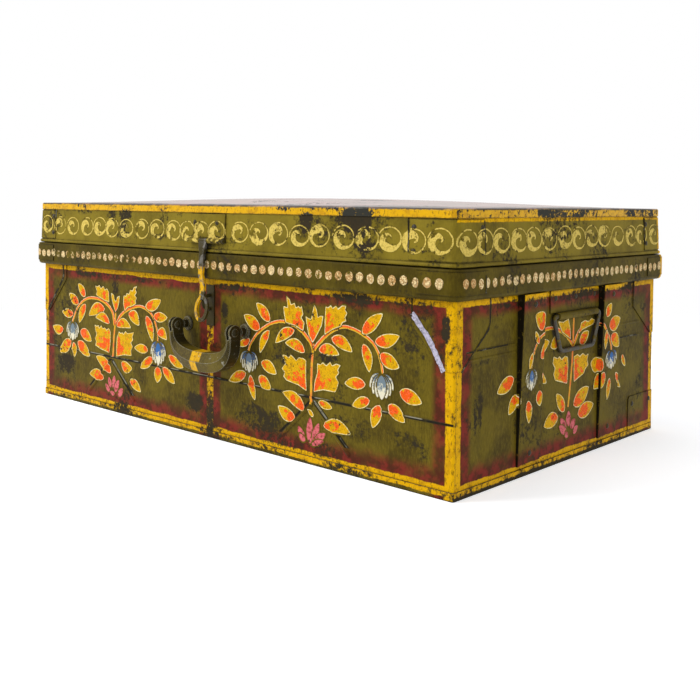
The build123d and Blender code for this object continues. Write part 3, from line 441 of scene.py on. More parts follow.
def topPaint():
    material = newMaterial("dustyRosePaint")
    at = sides()
    way = facing(at)
    colour = patches(topSheet["brown"], topSheet["rose"], *topSheet["tone"])
    colour = patches(colour, topSheet["pale"], *topSheet["dust"])
    # the folded edge belongs to the lid's painted sides
    height = add("plus", at["z"], raggedEdge())
    side = add("ramp", height, topSheet["foldLow"], topSheet["foldHigh"], 1.0, 0.0)
    colour = add("mix", side, colour, yellowPaint())
    # the rim above the yellow line is rubbed down to dark iron
    rim = add("times", band(height, topSheet["rimLow"], topSheet["rimHigh"], 0.5),
              add("ramp", noise(40.0, 3.0, 0.6), 0.38, 0.5, 0.3, 1.0))
    foldWear = add("plus", topSheet["foldChips"], add("times", at["onEnd"], topSheet["endFoldChips"]))
    amount = add("plus", add("times", side, foldWear), knockSum(at, "lid"))
    bare = join("most", chipMask(amount), rubbedEdges("top", 0.85), add("times", rim, 0.9))
    colour = add("mix", bare, colour, chips["dark"])
    inside = add("most", way["inward"], add("below", way["up"], -0.2))
    colour = add("mix", inside, colour, bareTin())
    coat = add("times", add("minus", 1.0, side), topSheet["coat"])
    finishMaterial(colour, add("pick", bare, 0.6, 0.28), oliveRelief(0.8), 0.0, coat, topSheet["gloss"])
    return material


# What all ironwork shares: thick greasy paint over hammered metal, and the near black used as painted
# shade
ironBase = {"greased": "#221f12", "soot": "#14120a", "pits": 1.1, "pitDepth": 0.12, "gloss": 0.12}


# Ironwork painted along with the trunk and rubbed back to metal on its edges and high spots
def ironPaint(name, settings):
    material = newMaterial(name)
    at = sides()
    colour = add("mix", settings.get("darken", 0.0), oliveGround(), ironBase["greased"])
    for low, high, left, right in settings.get("yellowPatches", ()):
        patch = add("times", band(at["z"], low, high, 1.0), band(at["x"], left, right, 0.8))
        colour = add("mix", patch, colour, yellowPaint())
    # painted shade: faces turned to the right, away from the light, are darkened
    soot = add("ramp", facing(at)["x"], 0.1, 0.55, 0.0, settings.get("sootRight", 0.0))
    colour = add("mix", soot, colour, ironBase["soot"])
    grain = noise(settings["grain"], 5.0, 0.7, shift=2.0)
    bare = add("most", add("times", edgeRub(settings["edge"]), settings["edgeWear"]),
               add("ramp", grain, settings["from"], settings["from"] + 0.08))
    # on the handle the pale metal of its rubbed edges is also a painted highlight
    metal = add("mix", noise(2.5, 4.0, 0.6), settings["metalDark"], settings["metalLight"])
    # grease and painted shade darken the iron's crevices
    colour = creviceGreaseAndShade(add("mix", bare, colour, metal))
    # scale pits are really half as wide and are drawn coarse so that they show
    pits = noise(ironBase["pits"], 4.0, 0.6)
    finishMaterial(colour, add("pick", bare, 0.4, 0.45),
                   relief(settings["edge"], ((pits, ironBase["pitDepth"]),)),
                   add("pick", bare, settings["metallic"], 0.0), 0.0, ironBase["gloss"])
    return material


print("stage: material functions ready")

chipPaints = {
    # brushed oil paint on rolled sheet: satin, streaked, and chipped through to dark iron
    "bodySheet": bodyPaint("chippedOlivePaintOnTin", 0.0, 0.035, ribs=True),
    # the pan's upturned edge drags on the ground, so its paint is the most broken
    "panSheet": bodyPaint("yellowEdgedPanPaint", 0.07, 0.03),
    # loose plates keep sharp corners, which show as thin dark outlines
    "plateSheet": bodyPaint("cornerPlatePaint", 0.01, 0.035, 0.6, 0.9),
    # folded straps stand proud: softer edges, with one flank darkened by scuffs and painted shade
    "strapSheet": bodyPaint("raisedStrapPaint", 0.0, 0.035, 1.0, 0.7, darkSide=True),
    # the rolled collar under the lid's overhang is the darkest olive: painted shade, with soot
    "collarSheet": lidPaint("collarOlivePaint", 0.005, 400.0, "#3a3007", 0.7),
    # the lid's walls face the sky and have bleached to a mustard olive
    "lidSheet": lidPaint("lidSideOlivePaint", 0.018, 278.5, "#8f7d26", 0.6),
}
roseTop = topPaint()

ironLooks = {
    # forged iron under the trunk's paint: edges rubbed to metal where hands lift it, made pale as a
    # painted highlight, and painted shade on its right-facing sides
    "oliveHandleIron": {"edge": 1.5, "edgeWear": 0.85, "grain": 9.0, "from": 0.62, "darken": 0.05,
                        "metalDark": "#2b2a20", "metalLight": "#b3b09c", "metallic": 0.3,
                        "sootRight": 0.8, "yellowPatches": ((70, 99, 5, 17), (99, 120, 6, 24))},
    # forged iron handled with greasy fingers: near black, with a bright worn rim and old yellow
    "greasyHaspIron": {"edge": 0.9, "edgeWear": 0.95, "grain": 12.0, "from": 0.5, "darken": 0.7,
                       "metalDark": "#1e1c17", "metalLight": "#8a857b", "metallic": 0.6,
                       "yellowPatches": ((183, 213, -10, 30), (140, 183, -10, 11))},
    # drawn wire rubbed bare by lifting: grey, smooth, dark in its pits
    "rubbedWireIron": {"edge": 0.8, "edgeWear": 0.9, "grain": 7.0, "from": 0.40, "metallic": 0.7,
                       "metalDark": "#24221d", "metalLight": "#5f5b52"},
    # hammered rivet heads: small dark domes with a dull glint
    "darkRivetIron": {"edge": 0.5, "edgeWear": 0.9, "grain": 4.0, "from": 0.42, "darken": 0.6,
                      "metalDark": "#1d1b17", "metalLight": "#4a463d", "metallic": 0.6},
    # stamped hinge leaves that have shed half their paint over grey metal
    "hingePaintedIron": {"edge": 0.8, "edgeWear": 0.8, "grain": 10.0, "from": 0.52, "metallic": 0.7,
                         "metalDark": "#35312b", "metalLight": "#7b766b"},
    # forged staple in black scale, hardly worn; its plate takes the same near black, partly dark paint
    # and partly painted shade of the hasp over it
    "blackStapleIron": {"edge": 0.8, "edgeWear": 0.5, "grain": 11.0, "from": 0.6, "darken": 0.75,
                        "metalDark": "#2a2820", "metalLight": "#5c584a", "metallic": 0.5},
}
iron = {name: ironPaint(name, settings) for name, settings in ironLooks.items()}

wears = {
    "bodySheet": ("body_front", "body_back", "body_right_end", "body_left_end"),
    "panSheet": ("bottom_pan",),
    "plateSheet": ("gusset_*", "foot_patch_*", "*_handle_plate"),
    "strapSheet": ("*_strap",),
    "collarSheet": ("collar_*",),
    "lidSheet": ("lid_front_strip", "lid_back_strip", "lid_right_strip", "lid_left_strip",
                 "lid_patch_*", "lid_rim_wire", "hasp_hinge_plate"),
    "oliveHandleIron": ("front_handle", "handle_eye_*"),
    "greasyHaspIron": ("hasp", "hasp_pin"),
    "rubbedWireIron": ("*_bail",),
    "darkRivetIron": ("*_rivets", "hinge_rivets_body"),
    "hingePaintedIron": ("*_leaf", "*_hinge_pin"),
    # the staple plate's near black is partly painted shade of the hasp
    "blackStapleIron": ("staple", "staple_plate"),
}


def paintNode(node, material):
    node.data.materials.clear()
    node.data.materials.append(material)


for look, patterns in wears.items():
    for name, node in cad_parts.items():
        if any(fnmatch.fnmatch(name, pattern) for pattern in patterns):
            paintNode(node, chipPaints.get(look) or iron[look])
paintNode(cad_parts["lid_top"], roseTop)
print("stage: nodes painted")


# Hand-painted ornament lies on the sheet as skins of paint a fraction of a millimetre thick.
# Each skin is dropped on to the metal below, so it follows the pressed ribs, plates and straps.
def newFace(side, body, slot, *patterns):
    points, corners = [], []
    for name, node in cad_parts.items():
        if any(fnmatch.fnmatch(name, pattern) for pattern in patterns):
            start = len(points)
            points += [node.matrix_world @ vertex.co for vertex in node.data.vertices]
            corners += [[start + index for index in polygon.vertices] for polygon in node.data.polygons]
    return {"toward": {"front": (0, 1, 0), "right": (-1, 0, 0), "left": (1, 0, 0)}[side],
            "metal": BVHTree.FromPolygons(points, corners), "body": body, "slot": slot}


faces = {
    "front": newFace("front", "trunk", "body_paint", "body_front", "gusset_front_*"),
    "lidFront": newFace("front", "lid", "lid_paint", "lid_front_strip", "lid_patch_front_*",
                        "hasp_hinge_plate", "lid_rivets"),
    "collarFront": newFace("front", "trunk", "collar_paint", "collar_front", "collar_patch_front_*"),
}
for side in ("right", "left"):
    faces[side + "End"] = newFace(side, "trunk", "body_paint", f"body_{side}_end",
                                  f"{side}_end_*_strap", f"gusset_*_{side}", f"foot_patch_*_{side}")
    faces["lid" + side.capitalize()] = newFace(side, "lid", "lid_paint", f"lid_{side}_strip",
                                               f"lid_patch_*_{side}", "lid_rivets")
    faces["collar" + side.capitalize()] = newFace(side, "trunk", "collar_paint", f"collar_{side}",
                                                  f"collar_patch_*_{side}")


castFrom = 0.6  # metres outside the middle of the trunk, where each ray starts


# Drops a point given by its reach along the face and its height on to the metal
def drop(face, along, height, lift):
    toward = Vector(face["toward"])
    start = Vector((along, 0.0, height)) if toward.y else Vector((0.0, along, height))
    start = start * mm - toward * castFrom
    hit = face["metal"].ray_cast(start, toward)[0]
    return None if hit is None else hit - toward * lift * mm


# How far each paint lies above the metal, in millimetres
lifts = {"stems": 0.14, "leaves": 0.2, "blooms": 0.3, "pinks": 0.3, "grease": 0.36, "bareTin": 0.3,
         "scrolls": 0.2, "dots": 0.2}


def newSkin(face, paint):
    return {"face": faces[face], "paint": paint, "lift": lifts[paint], "points": [], "corners": [],
            "marks": []}


# Steps of the brush in millimetres, and the shake of the hand
brush = {"across": 1.3, "fill": 1.15, "margin": 1.3, "bleed": 1.7, "along": 1.1, "shake": 0.31,
         "shakeSeed": 4.4}


# One brush stroke: a strip along a path, marked with its progress, its distance from the edge in
# millimetres and its tint; without a tint the third mark runs from the lower to the upper edge
def stroke(skin, path, halfWidths, tint, wobble=0.25):
    rows = len(path)
    across = max(2, math.ceil(2 * max(halfWidths) / brush["across"]))
    upward = 1 if path[-1][0] > path[0][0] else -1
    grid = []
    for row, (along, height) in enumerate(path):
        before, after = path[max(row - 1, 0)], path[min(row + 1, rows - 1)]
        run = Vector((after[0] - before[0], after[1] - before[1]))
        run = run.normalized() if run.length > 1e-6 else Vector((1.0, 0.0))
        half = halfWidths[row]
        line = []
        for step in range(across + 1):
            side = 2 * step / across - 1
            spread = (along * brush["shake"] + side, height * brush["shake"], brush["shakeSeed"])
            shake = wobble * noiseAt(Vector(spread))
            reach = half * side * (1 + shake)
            spot = drop(skin["face"], along - run.y * reach, height + run.x * reach, skin["lift"])
            if spot is None:
                line.append(None)
                continue
            line.append(len(skin["points"]))
            skin["points"].append(spot)
            third = 0.5 + 0.5 * side * upward if tint is None else tint
            skin["marks"].append((row / (rows - 1), half * (1 - abs(side)), third))
        grid.append(line)
    for row in range(rows - 1):
        for step in range(across):
            corner = [grid[row][step], grid[row][step + 1], grid[row + 1][step + 1],
                      grid[row + 1][step]]
            if None not in corner:
                skin["corners"].append(corner)


# How deep a point lies inside an outline, negative outside
def depthInside(x, y, outline):
    nearest, crossings = 1e9, 0
    for (ax, ay), (bx, by) in zip(outline, outline[1:] + outline[:1]):
        runX, runY = bx - ax, by - ay
        share = ((x - ax) * runX + (y - ay) * runY) / max(runX * runX + runY * runY, 1e-9)
        share = min(1.0, max(0.0, share))
        nearest = min(nearest, math.hypot(x - ax - runX * share, y - ay - runY * share))
        if (ay > y) != (by > y) and x < ax + runX * (y - ay) / runY:
            crossings += 1
    return nearest if crossings % 2 else -nearest


# Fills an outline with paint on a fine grid that carries the same three marks
def fillOutline(skin, outline, base, tip, tint, extraLift=0.0):
    step, margin = brush["fill"], brush["margin"]
    lows = [min(point[axis] for point in outline) - margin for axis in (0, 1)]
    highs = [max(point[axis] for point in outline) + margin for axis in (0, 1)]
    axis = (tip[0] - base[0], tip[1] - base[1])
    grid = {}
    for row in range(math.ceil((highs[1] - lows[1]) / step) + 1):
        for column in range(math.ceil((highs[0] - lows[0]) / step) + 1):
            x, y = lows[0] + column * step, lows[1] + row * step
            inside = depthInside(x, y, outline)
            if inside <= -brush["bleed"]:
                continue
            spot = drop(skin["face"], x, y, skin["lift"] + extraLift)
            if spot is None:
                continue
            along = (x - base[0]) * axis[0] + (y - base[1]) * axis[1]
            progress = along / (axis[0] ** 2 + axis[1] ** 2)
            grid[row, column] = len(skin["points"])
            skin["points"].append(spot)
            skin["marks"].append((min(1.0, max(0.0, progress)), inside, tint))
    for row, column in grid:
        corner = [grid.get(key) for key in ((row, column), (row, column + 1), (row + 1, column + 1),
                                            (row + 1, column))]
        if None not in corner:
            skin["corners"].append(corner)


# A smooth path through a few points, one step about every millimetre
def smoothPath(points):
    path = []
    last = len(points) - 1
    for index in range(last):
        p0, p1 = points[max(index - 1, 0)], points[index]
        p2, p3 = points[index + 1], points[min(index + 2, last)]
        steps = max(2, round(math.dist(p1, p2) / brush["along"]))
        for step in range(steps):
            t = step / steps
            path.append(tuple(0.5 * (2 * b + (c - a) * t + (2 * a - 5 * b + 4 * c - d) * t * t
                                     + (3 * b - a - 3 * c + d) * t ** 3)
                              for a, b, c, d in zip(p0, p1, p2, p3)))
    path.append(points[-1])
    return path


# A leaf or petal: round at its base, pointed at its tip, bowed to one side
leafShape = {"steps": 14, "belly": 0.85, "fullness": 0.72}


def leaf(skin, base, tip, width, bow, tint, extraLift=0.0):
    axis = (tip[0] - base[0], tip[1] - base[1])
    length = math.hypot(*axis)
    aside = (-axis[1] / length, axis[0] / length)
    edges = {1: [], -1: []}
    for step in range(leafShape["steps"] + 1):
        t = step / leafShape["steps"]
        swell = max(0.0, math.sin(math.pi * t ** leafShape["belly"]))
        half = width / 2 * swell ** leafShape["fullness"]
        for way, edge in edges.items():
            reach = way * half + bow * 4 * t * (1 - t)
            edge.append((base[0] + axis[0] * t + aside[0] * reach,
                         base[1] + axis[1] * t + aside[1] * reach))
    fillOutline(skin, edges[1] + edges[-1][::-1], base, tip, tint, extraLift)


# The four sprays. Leaves are base, tip, width and bow; jagged leaves are outlines from their base;
# flowers are middle, width, height and how blue; lotus petals are base, tip and width.
frontLeft = {
    "leaves": (
        (-272, 154, -291, 172, 14, -0.8), (-289, 143, -315, 156, 15, 0.8),
        (-303, 127, -334, 128, 14, 0.7), (-271, 144, -288, 115, 15, -1.8),
        (-222, 141, -263, 128, 18, -4.9), (-210, 122, -246, 127, 14, -4.5),
        (-127, 151, -92, 163, 16, -1.9), (-109, 140, -78, 141, 14, -0.2),
        (-101, 120, -79, 112, 15, 4.4), (-125, 140, -110, 106, 15, 1.9),
        (-165, 140, -140, 125, 18, 3.4), (-194, 120, -159, 120, 14, 5.1), (-330, 102, -360, 104, 15, 3),
        (-285, 104, -255, 92, 17, 1.5), (-309, 88, -340, 67, 19, 0.3), (-303, 86, -300, 64, 13, 1.6),
        (-292, 88, -259, 70, 18, -0.1), (-206, 53, -244, 72, 17, -2.5), (-224, 43, -261, 45, 16, -2.8),
        (-182, 70, -156, 65, 16, -3.1), (-162, 49, -136, 36, 14, 1.4), (-120, 94, -152, 94, 13, -0.7),
        (-109, 85, -138, 68, 14, 0), (-98, 75, -100, 53, 17, 0.4), (-88, 75, -62, 57, 15, 0.3),
        (-76, 92, -44, 80, 13, -0.9),
    ),
    "jagged": (
        ((-211, 151), (-222, 152), (-236, 156), (-245, 159), (-242, 164), (-247, 172), (-240, 171),
         (-236, 174), (-232, 169), (-226, 173), (-222, 168), (-217, 170), (-212, 165), (-212, 158)),
        ((-174, 141), (-178, 152), (-177, 163), (-171, 163), (-170, 167), (-164, 166), (-162, 172),
         (-156, 171), (-153, 176), (-145, 178), (-149, 173), (-146, 169), (-150, 165), (-146, 162),
         (-149, 157), (-147, 154), (-155, 150), (-167, 147)),
        ((-196, 138), (-201, 146), (-205, 154), (-207, 165), (-200, 162), (-198, 155), (-195, 154),
         (-192, 160), (-186, 162), (-187, 153), (-190, 145)),
        ((-211, 80), (-232, 83), (-246, 87), (-244, 93), (-247, 97), (-243, 103), (-246, 109),
         (-248, 117), (-242, 115), (-238, 117), (-236, 113), (-231, 117), (-227, 113), (-222, 115),
         (-218, 112), (-212, 115), (-208, 110), (-208, 93)),
        ((-194, 77), (-194, 89), (-193, 103), (-188, 113), (-184, 111), (-179, 112), (-177, 110),
         (-172, 115), (-168, 112), (-162, 113), (-152, 115), (-156, 108), (-154, 104), (-159, 100),
         (-155, 95), (-159, 89), (-158, 82), (-176, 81)),
    ),
    "stem": (
        (-196, 138), (-197, 122), (-200, 102), (-202, 76),
    ),
    "branches": (
        ((-199, 120), (-204, 138), (-222, 150), (-247, 154), (-270, 151), (-291, 138), (-302, 122),
         (-306, 114)),
        ((-196, 120), (-182, 136), (-162, 146), (-139, 151), (-119, 146), (-107, 136), (-100, 120),
         (-99, 108)),
    ),
    "flowers": (
        (-305, 102, 36, 27, 0.1), (-98, 93, 35, 32, 0.85),
    ),
    "lotus": (
        (-200, 31, -198, 51, 10), (-206, 32, -212, 47, 9), (-197, 27, -187, 46, 10),
        (-209, 26, -220, 37, 8), (-189, 22, -177, 35, 10), (-197, 24, -209, 27, 7),
    ),
}
frontRight = {
    "leaves": (
        (117, 154, 93, 174, 15, -0.6), (100, 143, 71, 158, 16, -0.2), (83, 130, 58, 121, 10, 1.5),
        (116, 144, 100, 115, 12, -2.5), (158, 148, 126, 130, 14, -3.1), (175, 125, 142, 132, 14, -3.6),
        (260, 154, 289, 178, 15, 0.4), (278, 147, 312, 157, 15, -1.8), (285, 135, 312, 124, 16, -0.7),
        (262, 144, 271, 114, 14, 1.9), (215, 145, 247, 133, 15, 2.7), (196, 130, 228, 128, 14, 2.8),
        (102, 105, 129, 94, 15, 1.6), (76, 89, 45, 76, 14, 0.1), (83, 88, 92, 58, 12, -1),
        (98, 88, 120, 75, 15, -0.2), (175, 59, 139, 75, 16, -3.6), (160, 48, 131, 58, 16, 2.5),
        (196, 72, 218, 68, 10, 0), (204, 47, 246, 44, 16, 4), (266, 101, 235, 98, 14, -0.6),
        (272, 85, 247, 76, 13, -0.1), (286, 82, 276, 56, 15, -0.8), (297, 84, 320, 69, 15, 0.5),
        (312, 100, 342, 92, 16, 0), (189, 54, 180, 62, 6, 0),
    ),
    "jagged": (
        ((172, 148), (158, 153), (143, 155), (140, 166), (139, 174), (146, 173), (144, 186), (150, 182),
         (152, 177), (158, 179), (160, 174), (164, 176), (167, 174), (169, 177), (172, 167), (169, 163),
         (174, 158)),
        ((205, 147), (205, 163), (206, 179), (210, 178), (214, 181), (217, 178), (222, 181), (225, 178),
         (231, 182), (237, 182), (236, 177), (239, 174), (236, 169), (238, 165), (232, 163), (230, 159),
         (217, 154)),
        ((187, 136), (180, 145), (177, 156), (175, 166), (179, 164), (184, 163), (186, 171), (189, 180),
         (193, 174), (195, 166), (198, 168), (203, 168), (201, 157), (194, 146)),
        ((178, 81), (165, 86), (145, 89), (140, 93), (142, 98), (137, 102), (143, 108), (140, 113),
         (138, 118), (144, 118), (149, 116), (152, 120), (157, 117), (161, 114), (165, 118), (172, 118),
         (177, 116), (177, 98)),
        ((189, 82), (190, 93), (194, 104), (194, 115), (199, 114), (203, 117), (208, 114), (214, 119),
         (217, 115), (223, 118), (230, 117), (226, 111), (228, 108), (223, 103), (227, 98), (225, 91),
         (222, 86), (204, 86)),
    ),
    "stem": (
        (188, 136), (186, 115), (185, 92), (185, 68),
    ),
    "branches": (
        ((188, 128), (181, 139), (164, 151), (141, 156), (119, 152), (98, 140), (84, 125), (80, 116)),
        ((189, 129), (198, 139), (215, 152), (235, 159), (257, 155), (275, 146), (285, 132),
         (290, 113)),
    ),
    "flowers": (
        (81, 103, 34, 25, 0.55), (288, 102, 36, 27, 0.3),
    ),
    "lotus": (
        (176, 24, 165, 41, 10), (184, 23, 184, 54, 11), (189, 26, 198, 49, 10), (191, 25, 208, 39, 10),
        (186, 22, 206, 30, 7), (177, 25, 166, 32, 8),
    ),
}
end = {
    "leaves": (
        (-66, 157, -84, 175, 20, -3.8), (-74, 142, -83, 157, 8, 0.1), (-70, 126, -41, 141, 17, 3.1),
        (-19, 142, -39, 134, 15, 0.3), (26, 132, 48, 144, 15, -0.2), (77, 159, 88, 175, 14, 0.9),
        (84, 147, 112, 155, 19, -1.2), (90, 136, 112, 120, 17, 1.3), (79, 144, 77, 119, 9, -0.2),
        (75, 98, 53, 106, 19, -0.6), (79, 92, 61, 73, 17, 1.1), (91, 84, 87, 57, 11, 0.3),
        (105, 89, 130, 66, 10, -1), (132, 107, 142, 91, 9, -0.4), (-112, 109, -144, 97, 17, 0.1),
        (-107, 91, -122, 71, 15, 0.8), (-65, 109, -46, 95, 11, -0.7), (-92, 83, -88, 57, 13, 1.3),
        (-70, 91, -67, 73, 14, -0.4), (-86, 134, -91, 115, 8, -0.7), (-6, 57, -25, 80, 15, -0.4),
        (14, 61, 50, 78, 20, -0.5), (-20, 53, -51, 47, 18, -1.6), (24, 49, 62, 56, 19, -0.4),
    ),
    "jagged": (
        ((6, 138), (-14, 148), (-24, 162), (-12, 160), (0, 163), (4, 152)),
        ((23, 143), (29, 156), (38, 158), (46, 156), (54, 159), (63, 156), (57, 151), (33, 147)),
        ((-1, 88), (-28, 95), (-32, 103), (-29, 109), (-34, 115), (-32, 123), (-23, 120), (-19, 122),
         (-14, 118), (-7, 121), (0, 119), (1, 108)),
        ((14, 88), (13, 106), (13, 118), (22, 120), (27, 117), (34, 120), (41, 116), (48, 118),
         (45, 111), (48, 104), (41, 100), (37, 95)),
    ),
    "stem": (
        (12, 163), (11, 134), (9, 107), (5, 80), (2, 61),
    ),
    "branches": (
        ((10, 132), (-8, 146), (-36, 155), (-64, 152), (-78, 143), (-85, 129), (-88, 115)),
        ((12, 131), (29, 150), (50, 155), (66, 153), (77, 144), (89, 128), (93, 115)),
    ),
    "flowers": (
        (-87, 105, 24, 24, 0.4), (93, 106, 31, 23, 0.75),
    ),
    "lotus": (
        (4, 38, 3, 57, 12), (-2, 35, -15, 51, 11), (8, 35, 19, 45, 11), (0, 31, -18, 43, 10),
        (14, 28, 25, 36, 9), (2, 26, -4, 34, 8),
    ),
}
branchWidth = {"stem": 1.9, "start": 2.6, "end": 1.8}
flower = {"top": 0.44, "petalWidth": 0.37, "bow": 1.5, "blueSpread": 0.2, "lotusBow": 0.6}
stagger = {"leaves": 0.01, "jagged": 0.05, "petals": 0.025}  # extra lift in mm, so skins never meet
mirrorShift = 10  # millimetres towards the back, which centres the mirrored spray
petals = ((-0.46, -0.12), (0.46, -0.1), (-0.33, -0.36), (0.34, -0.33), (-0.16, -0.48), (0.2, -0.46),
          (0.02, -0.55))


def paintSpray(face, motif, turned, seed):
    dice = random.Random(seed)
    skins = {paint: newSkin(face, paint) for paint in ("stems", "leaves", "blooms", "pinks")}

    def at(along, height):
        return turned * along + (mirrorShift if turned < 0 else 0), height

    stem = smoothPath([at(*point) for point in motif["stem"]])
    stroke(skins["stems"], stem, [branchWidth["stem"]] * len(stem), 0.4)
    for branch in motif["branches"]:
        path = smoothPath([at(*point) for point in branch])
        thin = (branchWidth["start"] - branchWidth["end"]) / len(path)
        stroke(skins["stems"], path, [branchWidth["start"] - thin * row for row in range(len(path))],
               None)
    for index, (baseX, baseZ, tipX, tipZ, width, bow) in enumerate(motif["leaves"]):
        leaf(skins["leaves"], at(baseX, baseZ), at(tipX, tipZ), width, bow * turned, dice.random(),
             stagger["leaves"] * (index % 4))
    for index, outline in enumerate(motif["jagged"]):
        outline = [at(*point) for point in outline]
        tip = max(outline, key=lambda point: math.dist(point, outline[0]))
        fillOutline(skins["leaves"], outline, outline[0], tip, dice.uniform(-0.4, 0.1),
                    stagger["jagged"])
    for middleX, middleZ, width, height, blue in motif["flowers"]:
        top = at(middleX, middleZ + height * flower["top"])
        for index, (shareX, shareZ) in enumerate(petals):
            tip = at(middleX + shareX * width, middleZ + shareZ * height)
            leaf(skins["blooms"], top, tip, width * flower["petalWidth"],
                 flower["bow"] * shareX * turned,
                 blue + dice.uniform(-flower["blueSpread"], flower["blueSpread"]),
                 stagger["petals"] * index)
    for index, (baseX, baseZ, tipX, tipZ, width) in enumerate(motif["lotus"]):
        leaf(skins["pinks"], at(baseX, baseZ), at(tipX, tipZ), width, flower["lotusBow"],
             dice.random(), stagger["petals"] * index)
    return skins


# Running scroll of the lid: a brush winds out from the middle, presses fat on its first turn and
# closes the ring with a thin line; every other scroll starts further round
spiral = {"steps": 60, "turn": 540, "spread": 0.62, "fatAt": 0.36, "fatSpan": 0.17, "thin": 0.95}


def scroll(skin, middle, height, wide, tall, early, dice):
    path, halves = [], []
    start = dice.uniform(-20, 40) + (0 if early else -60)
    most = dice.uniform(0.17, 0.31)
    for step in range(spiral["steps"] + 1):
        t = step / spiral["steps"]
        angle = math.radians(start + spiral["turn"] * t)
        reach = 0.1 + 0.9 * min(1.0, t / spiral["spread"]) ** 0.95
        path.append((middle + wide * reach * math.cos(angle), height + tall * reach * math.sin(angle)))
        fat = math.exp(-((t - spiral["fatAt"]) / spiral["fatSpan"]) ** 2)
        halves.append(spiral["thin"] + wide * most * fat)
    stroke(skin, path, halves, dice.random(), 0.2)


def dot(skin, middle, height, wide, tall, tint):
    rows = 9
    path, halves = [], []
    for row in range(rows + 1):
        rise = 2 * row / rows - 1
        path.append((middle, height + rise * tall / 2))
        halves.append(max(0.1, wide / 2 * math.sqrt(max(0.0, 1 - rise * rise))))
    stroke(skin, path, halves, tint, 0.18)


# Shared build-up of every ornament paint: colour, ragged brush edge, fading, chips
def ornamentPaint(name, pickColour, faded=None, chipAmount=0.012):
    material = newMaterial(name)
    at = sides()
    marks = add("Attribute", attribute_name="stroke", output=1)
    progress, inside, tint = add("SeparateXYZ", marks, output=None)
    colour = pickColour(progress, inside, tint)
    ragged = add("times", noise(1.6, 3.0, 0.65, shift=5.9), 0.9)
    gone = add("minus", 1.0, add("ramp", add("minus", inside, ragged), -0.4, -0.05))
    if faded:
        gone = add("most", gone, faded())
    colour = add("mix", gone, colour, oliveGround())
    amount = add("plus", chipAmount, knockSum(at, "front"))
    chipped = chipMask(amount)
    colour = add("mix", chipped, colour, underPaint())
    finishMaterial(colour, add("pick", chipped, 0.62, 0.44), oliveRelief(0.4))
    return material


tints = {"orange": "#ec6216", "vermilion": "#dd4a14", "leafYellow": "#d2a106", "leafDeep": "#b48508",
         "cream": "#e6dfae", "stem": "#e5642c", "blush": "#f0a080", "blue": "#35639c",
         "slate": "#6d7c84", "white": "#d8d2b8", "pink": "#cc666a", "rose": "#8e3c38",
         "scroll": "#d2b95c", "scrollDark": "#a8903a", "peach": "#bf965c", "dotBrown": "#71451f",
         "dotPale": "#e0ca96", "grease": "#1e1a10", "rubbed": "#7d7a68", "lilac": "#b7b1c3",
         "lilacDark": "#8b8896", "petalEdge": "#5a2420"}
# Patches within each paint, as the numbers that patches() takes
brushwork = {"blush": (3.0, 3.0, 0.7, 3.7, 0.6, 0.68, 0.0, 0.5),
             "leaf": (5.0, 4.0, 0.7, 7.4, 0.36, 0.5),
             "leafDirt": (1.6, 4.0, 0.75, 6.6, 0.575, 0.62, 0.0, 0.75),
             "lotus": (4.0, 3.0, 0.6, 4.1, 0.36, 0.54), "scroll": (2.2, 4.0, 0.7, 3.9, 0.36, 0.54),
             "grease": (12.0, 4.0, 0.7, 2.3, 0.56, 0.64, 0.0, 0.6),
             "bareTin": (3.0, 4.0, 0.65, 6.1, 0.38, 0.56)}


# Yellow leaves with an orange heart near the base, a broken cream outline and dirt in the brushwork
def leafColour(progress, inside, tint):
    blot = noise(7.0, 3.0, 0.6, shift=2.6)
    deep = add("least", inside, 4.0)
    heart = add("plus", add("times", deep, 0.05), add("times", blot, 0.9))
    heart = add("minus", heart, add("times", progress, 0.5))
    heart = add("plus", heart, add("times", tint, 0.08))
    inner = add("mix", noise(2.4, 3.0), tints["orange"], tints["vermilion"])
    inner = patches(inner, tints["blush"], *brushwork["blush"])
    outer = patches(tints["leafDeep"], tints["leafYellow"], *brushwork["leaf"])
    colour = add("mix", add("ramp", heart, 0.412, 0.485), outer, inner)
    colour = patches(colour, olive["grime"], *brushwork["leafDirt"])
    wander = noise(9.0, 2.0, shift=1.9)
    line = add("ramp", add("minus", inside, add("times", wander, 1.4)), 0.0, 0.4, 1.0, 0.0)
    gaps = add("ramp", noise(3.4, 4.0, 0.7, shift=8.2), 0.4, 0.5, 0.2, 0.9)
    return add("mix", add("times", line, gaps), colour, tints["cream"])


# Salmon stems, yellow along one side, with a broken cream line along the other
def stemColour(progress, inside, tint):
    blot = noise(10.0, 3.0, shift=2.8)
    side = add("plus", tint, add("times", blot, 0.5))
    colour = add("mix", add("ramp", side, 0.55, 0.75), tints["leafYellow"], tints["stem"])
    wander = noise(8.0, 2.0, shift=0.9)
    line = add("ramp", add("minus", inside, wander), 0.1, 0.5, 1.0, 0.0)
    line = add("times", line, add("ramp", tint, 0.5, 0.7, 0.15, 0.85))
    return add("mix", line, colour, tints["cream"])


# Blue-grey petals that turn chalky white at their tips, each ringed with dirt
def bloomColour(progress, inside, tint):
    blot = noise(4.0, 3.0, 0.6, shift=4.8)
    cool = add("mix", add("ramp", tint, 0.3, 0.7), tints["slate"], tints["blue"])
    pale = add("plus", add("times", progress, 0.8), blot)
    colour = add("mix", add("ramp", pale, 0.8, 1.02), cool, tints["white"])
    rim = add("ramp", inside, 0.1, 0.9, 0.75, 0.0)
    return add("mix", rim, colour, olive["grime"])


# Pink petals in thin paint that lets the dark ground through at their edges
def lotusColour(progress, inside, tint):
    colour = patches(tints["rose"], tints["pink"], *brushwork["lotus"])
    return add("mix", add("ramp", inside, 0.1, 0.8, 0.8, 0.0), colour, tints["petalEdge"])


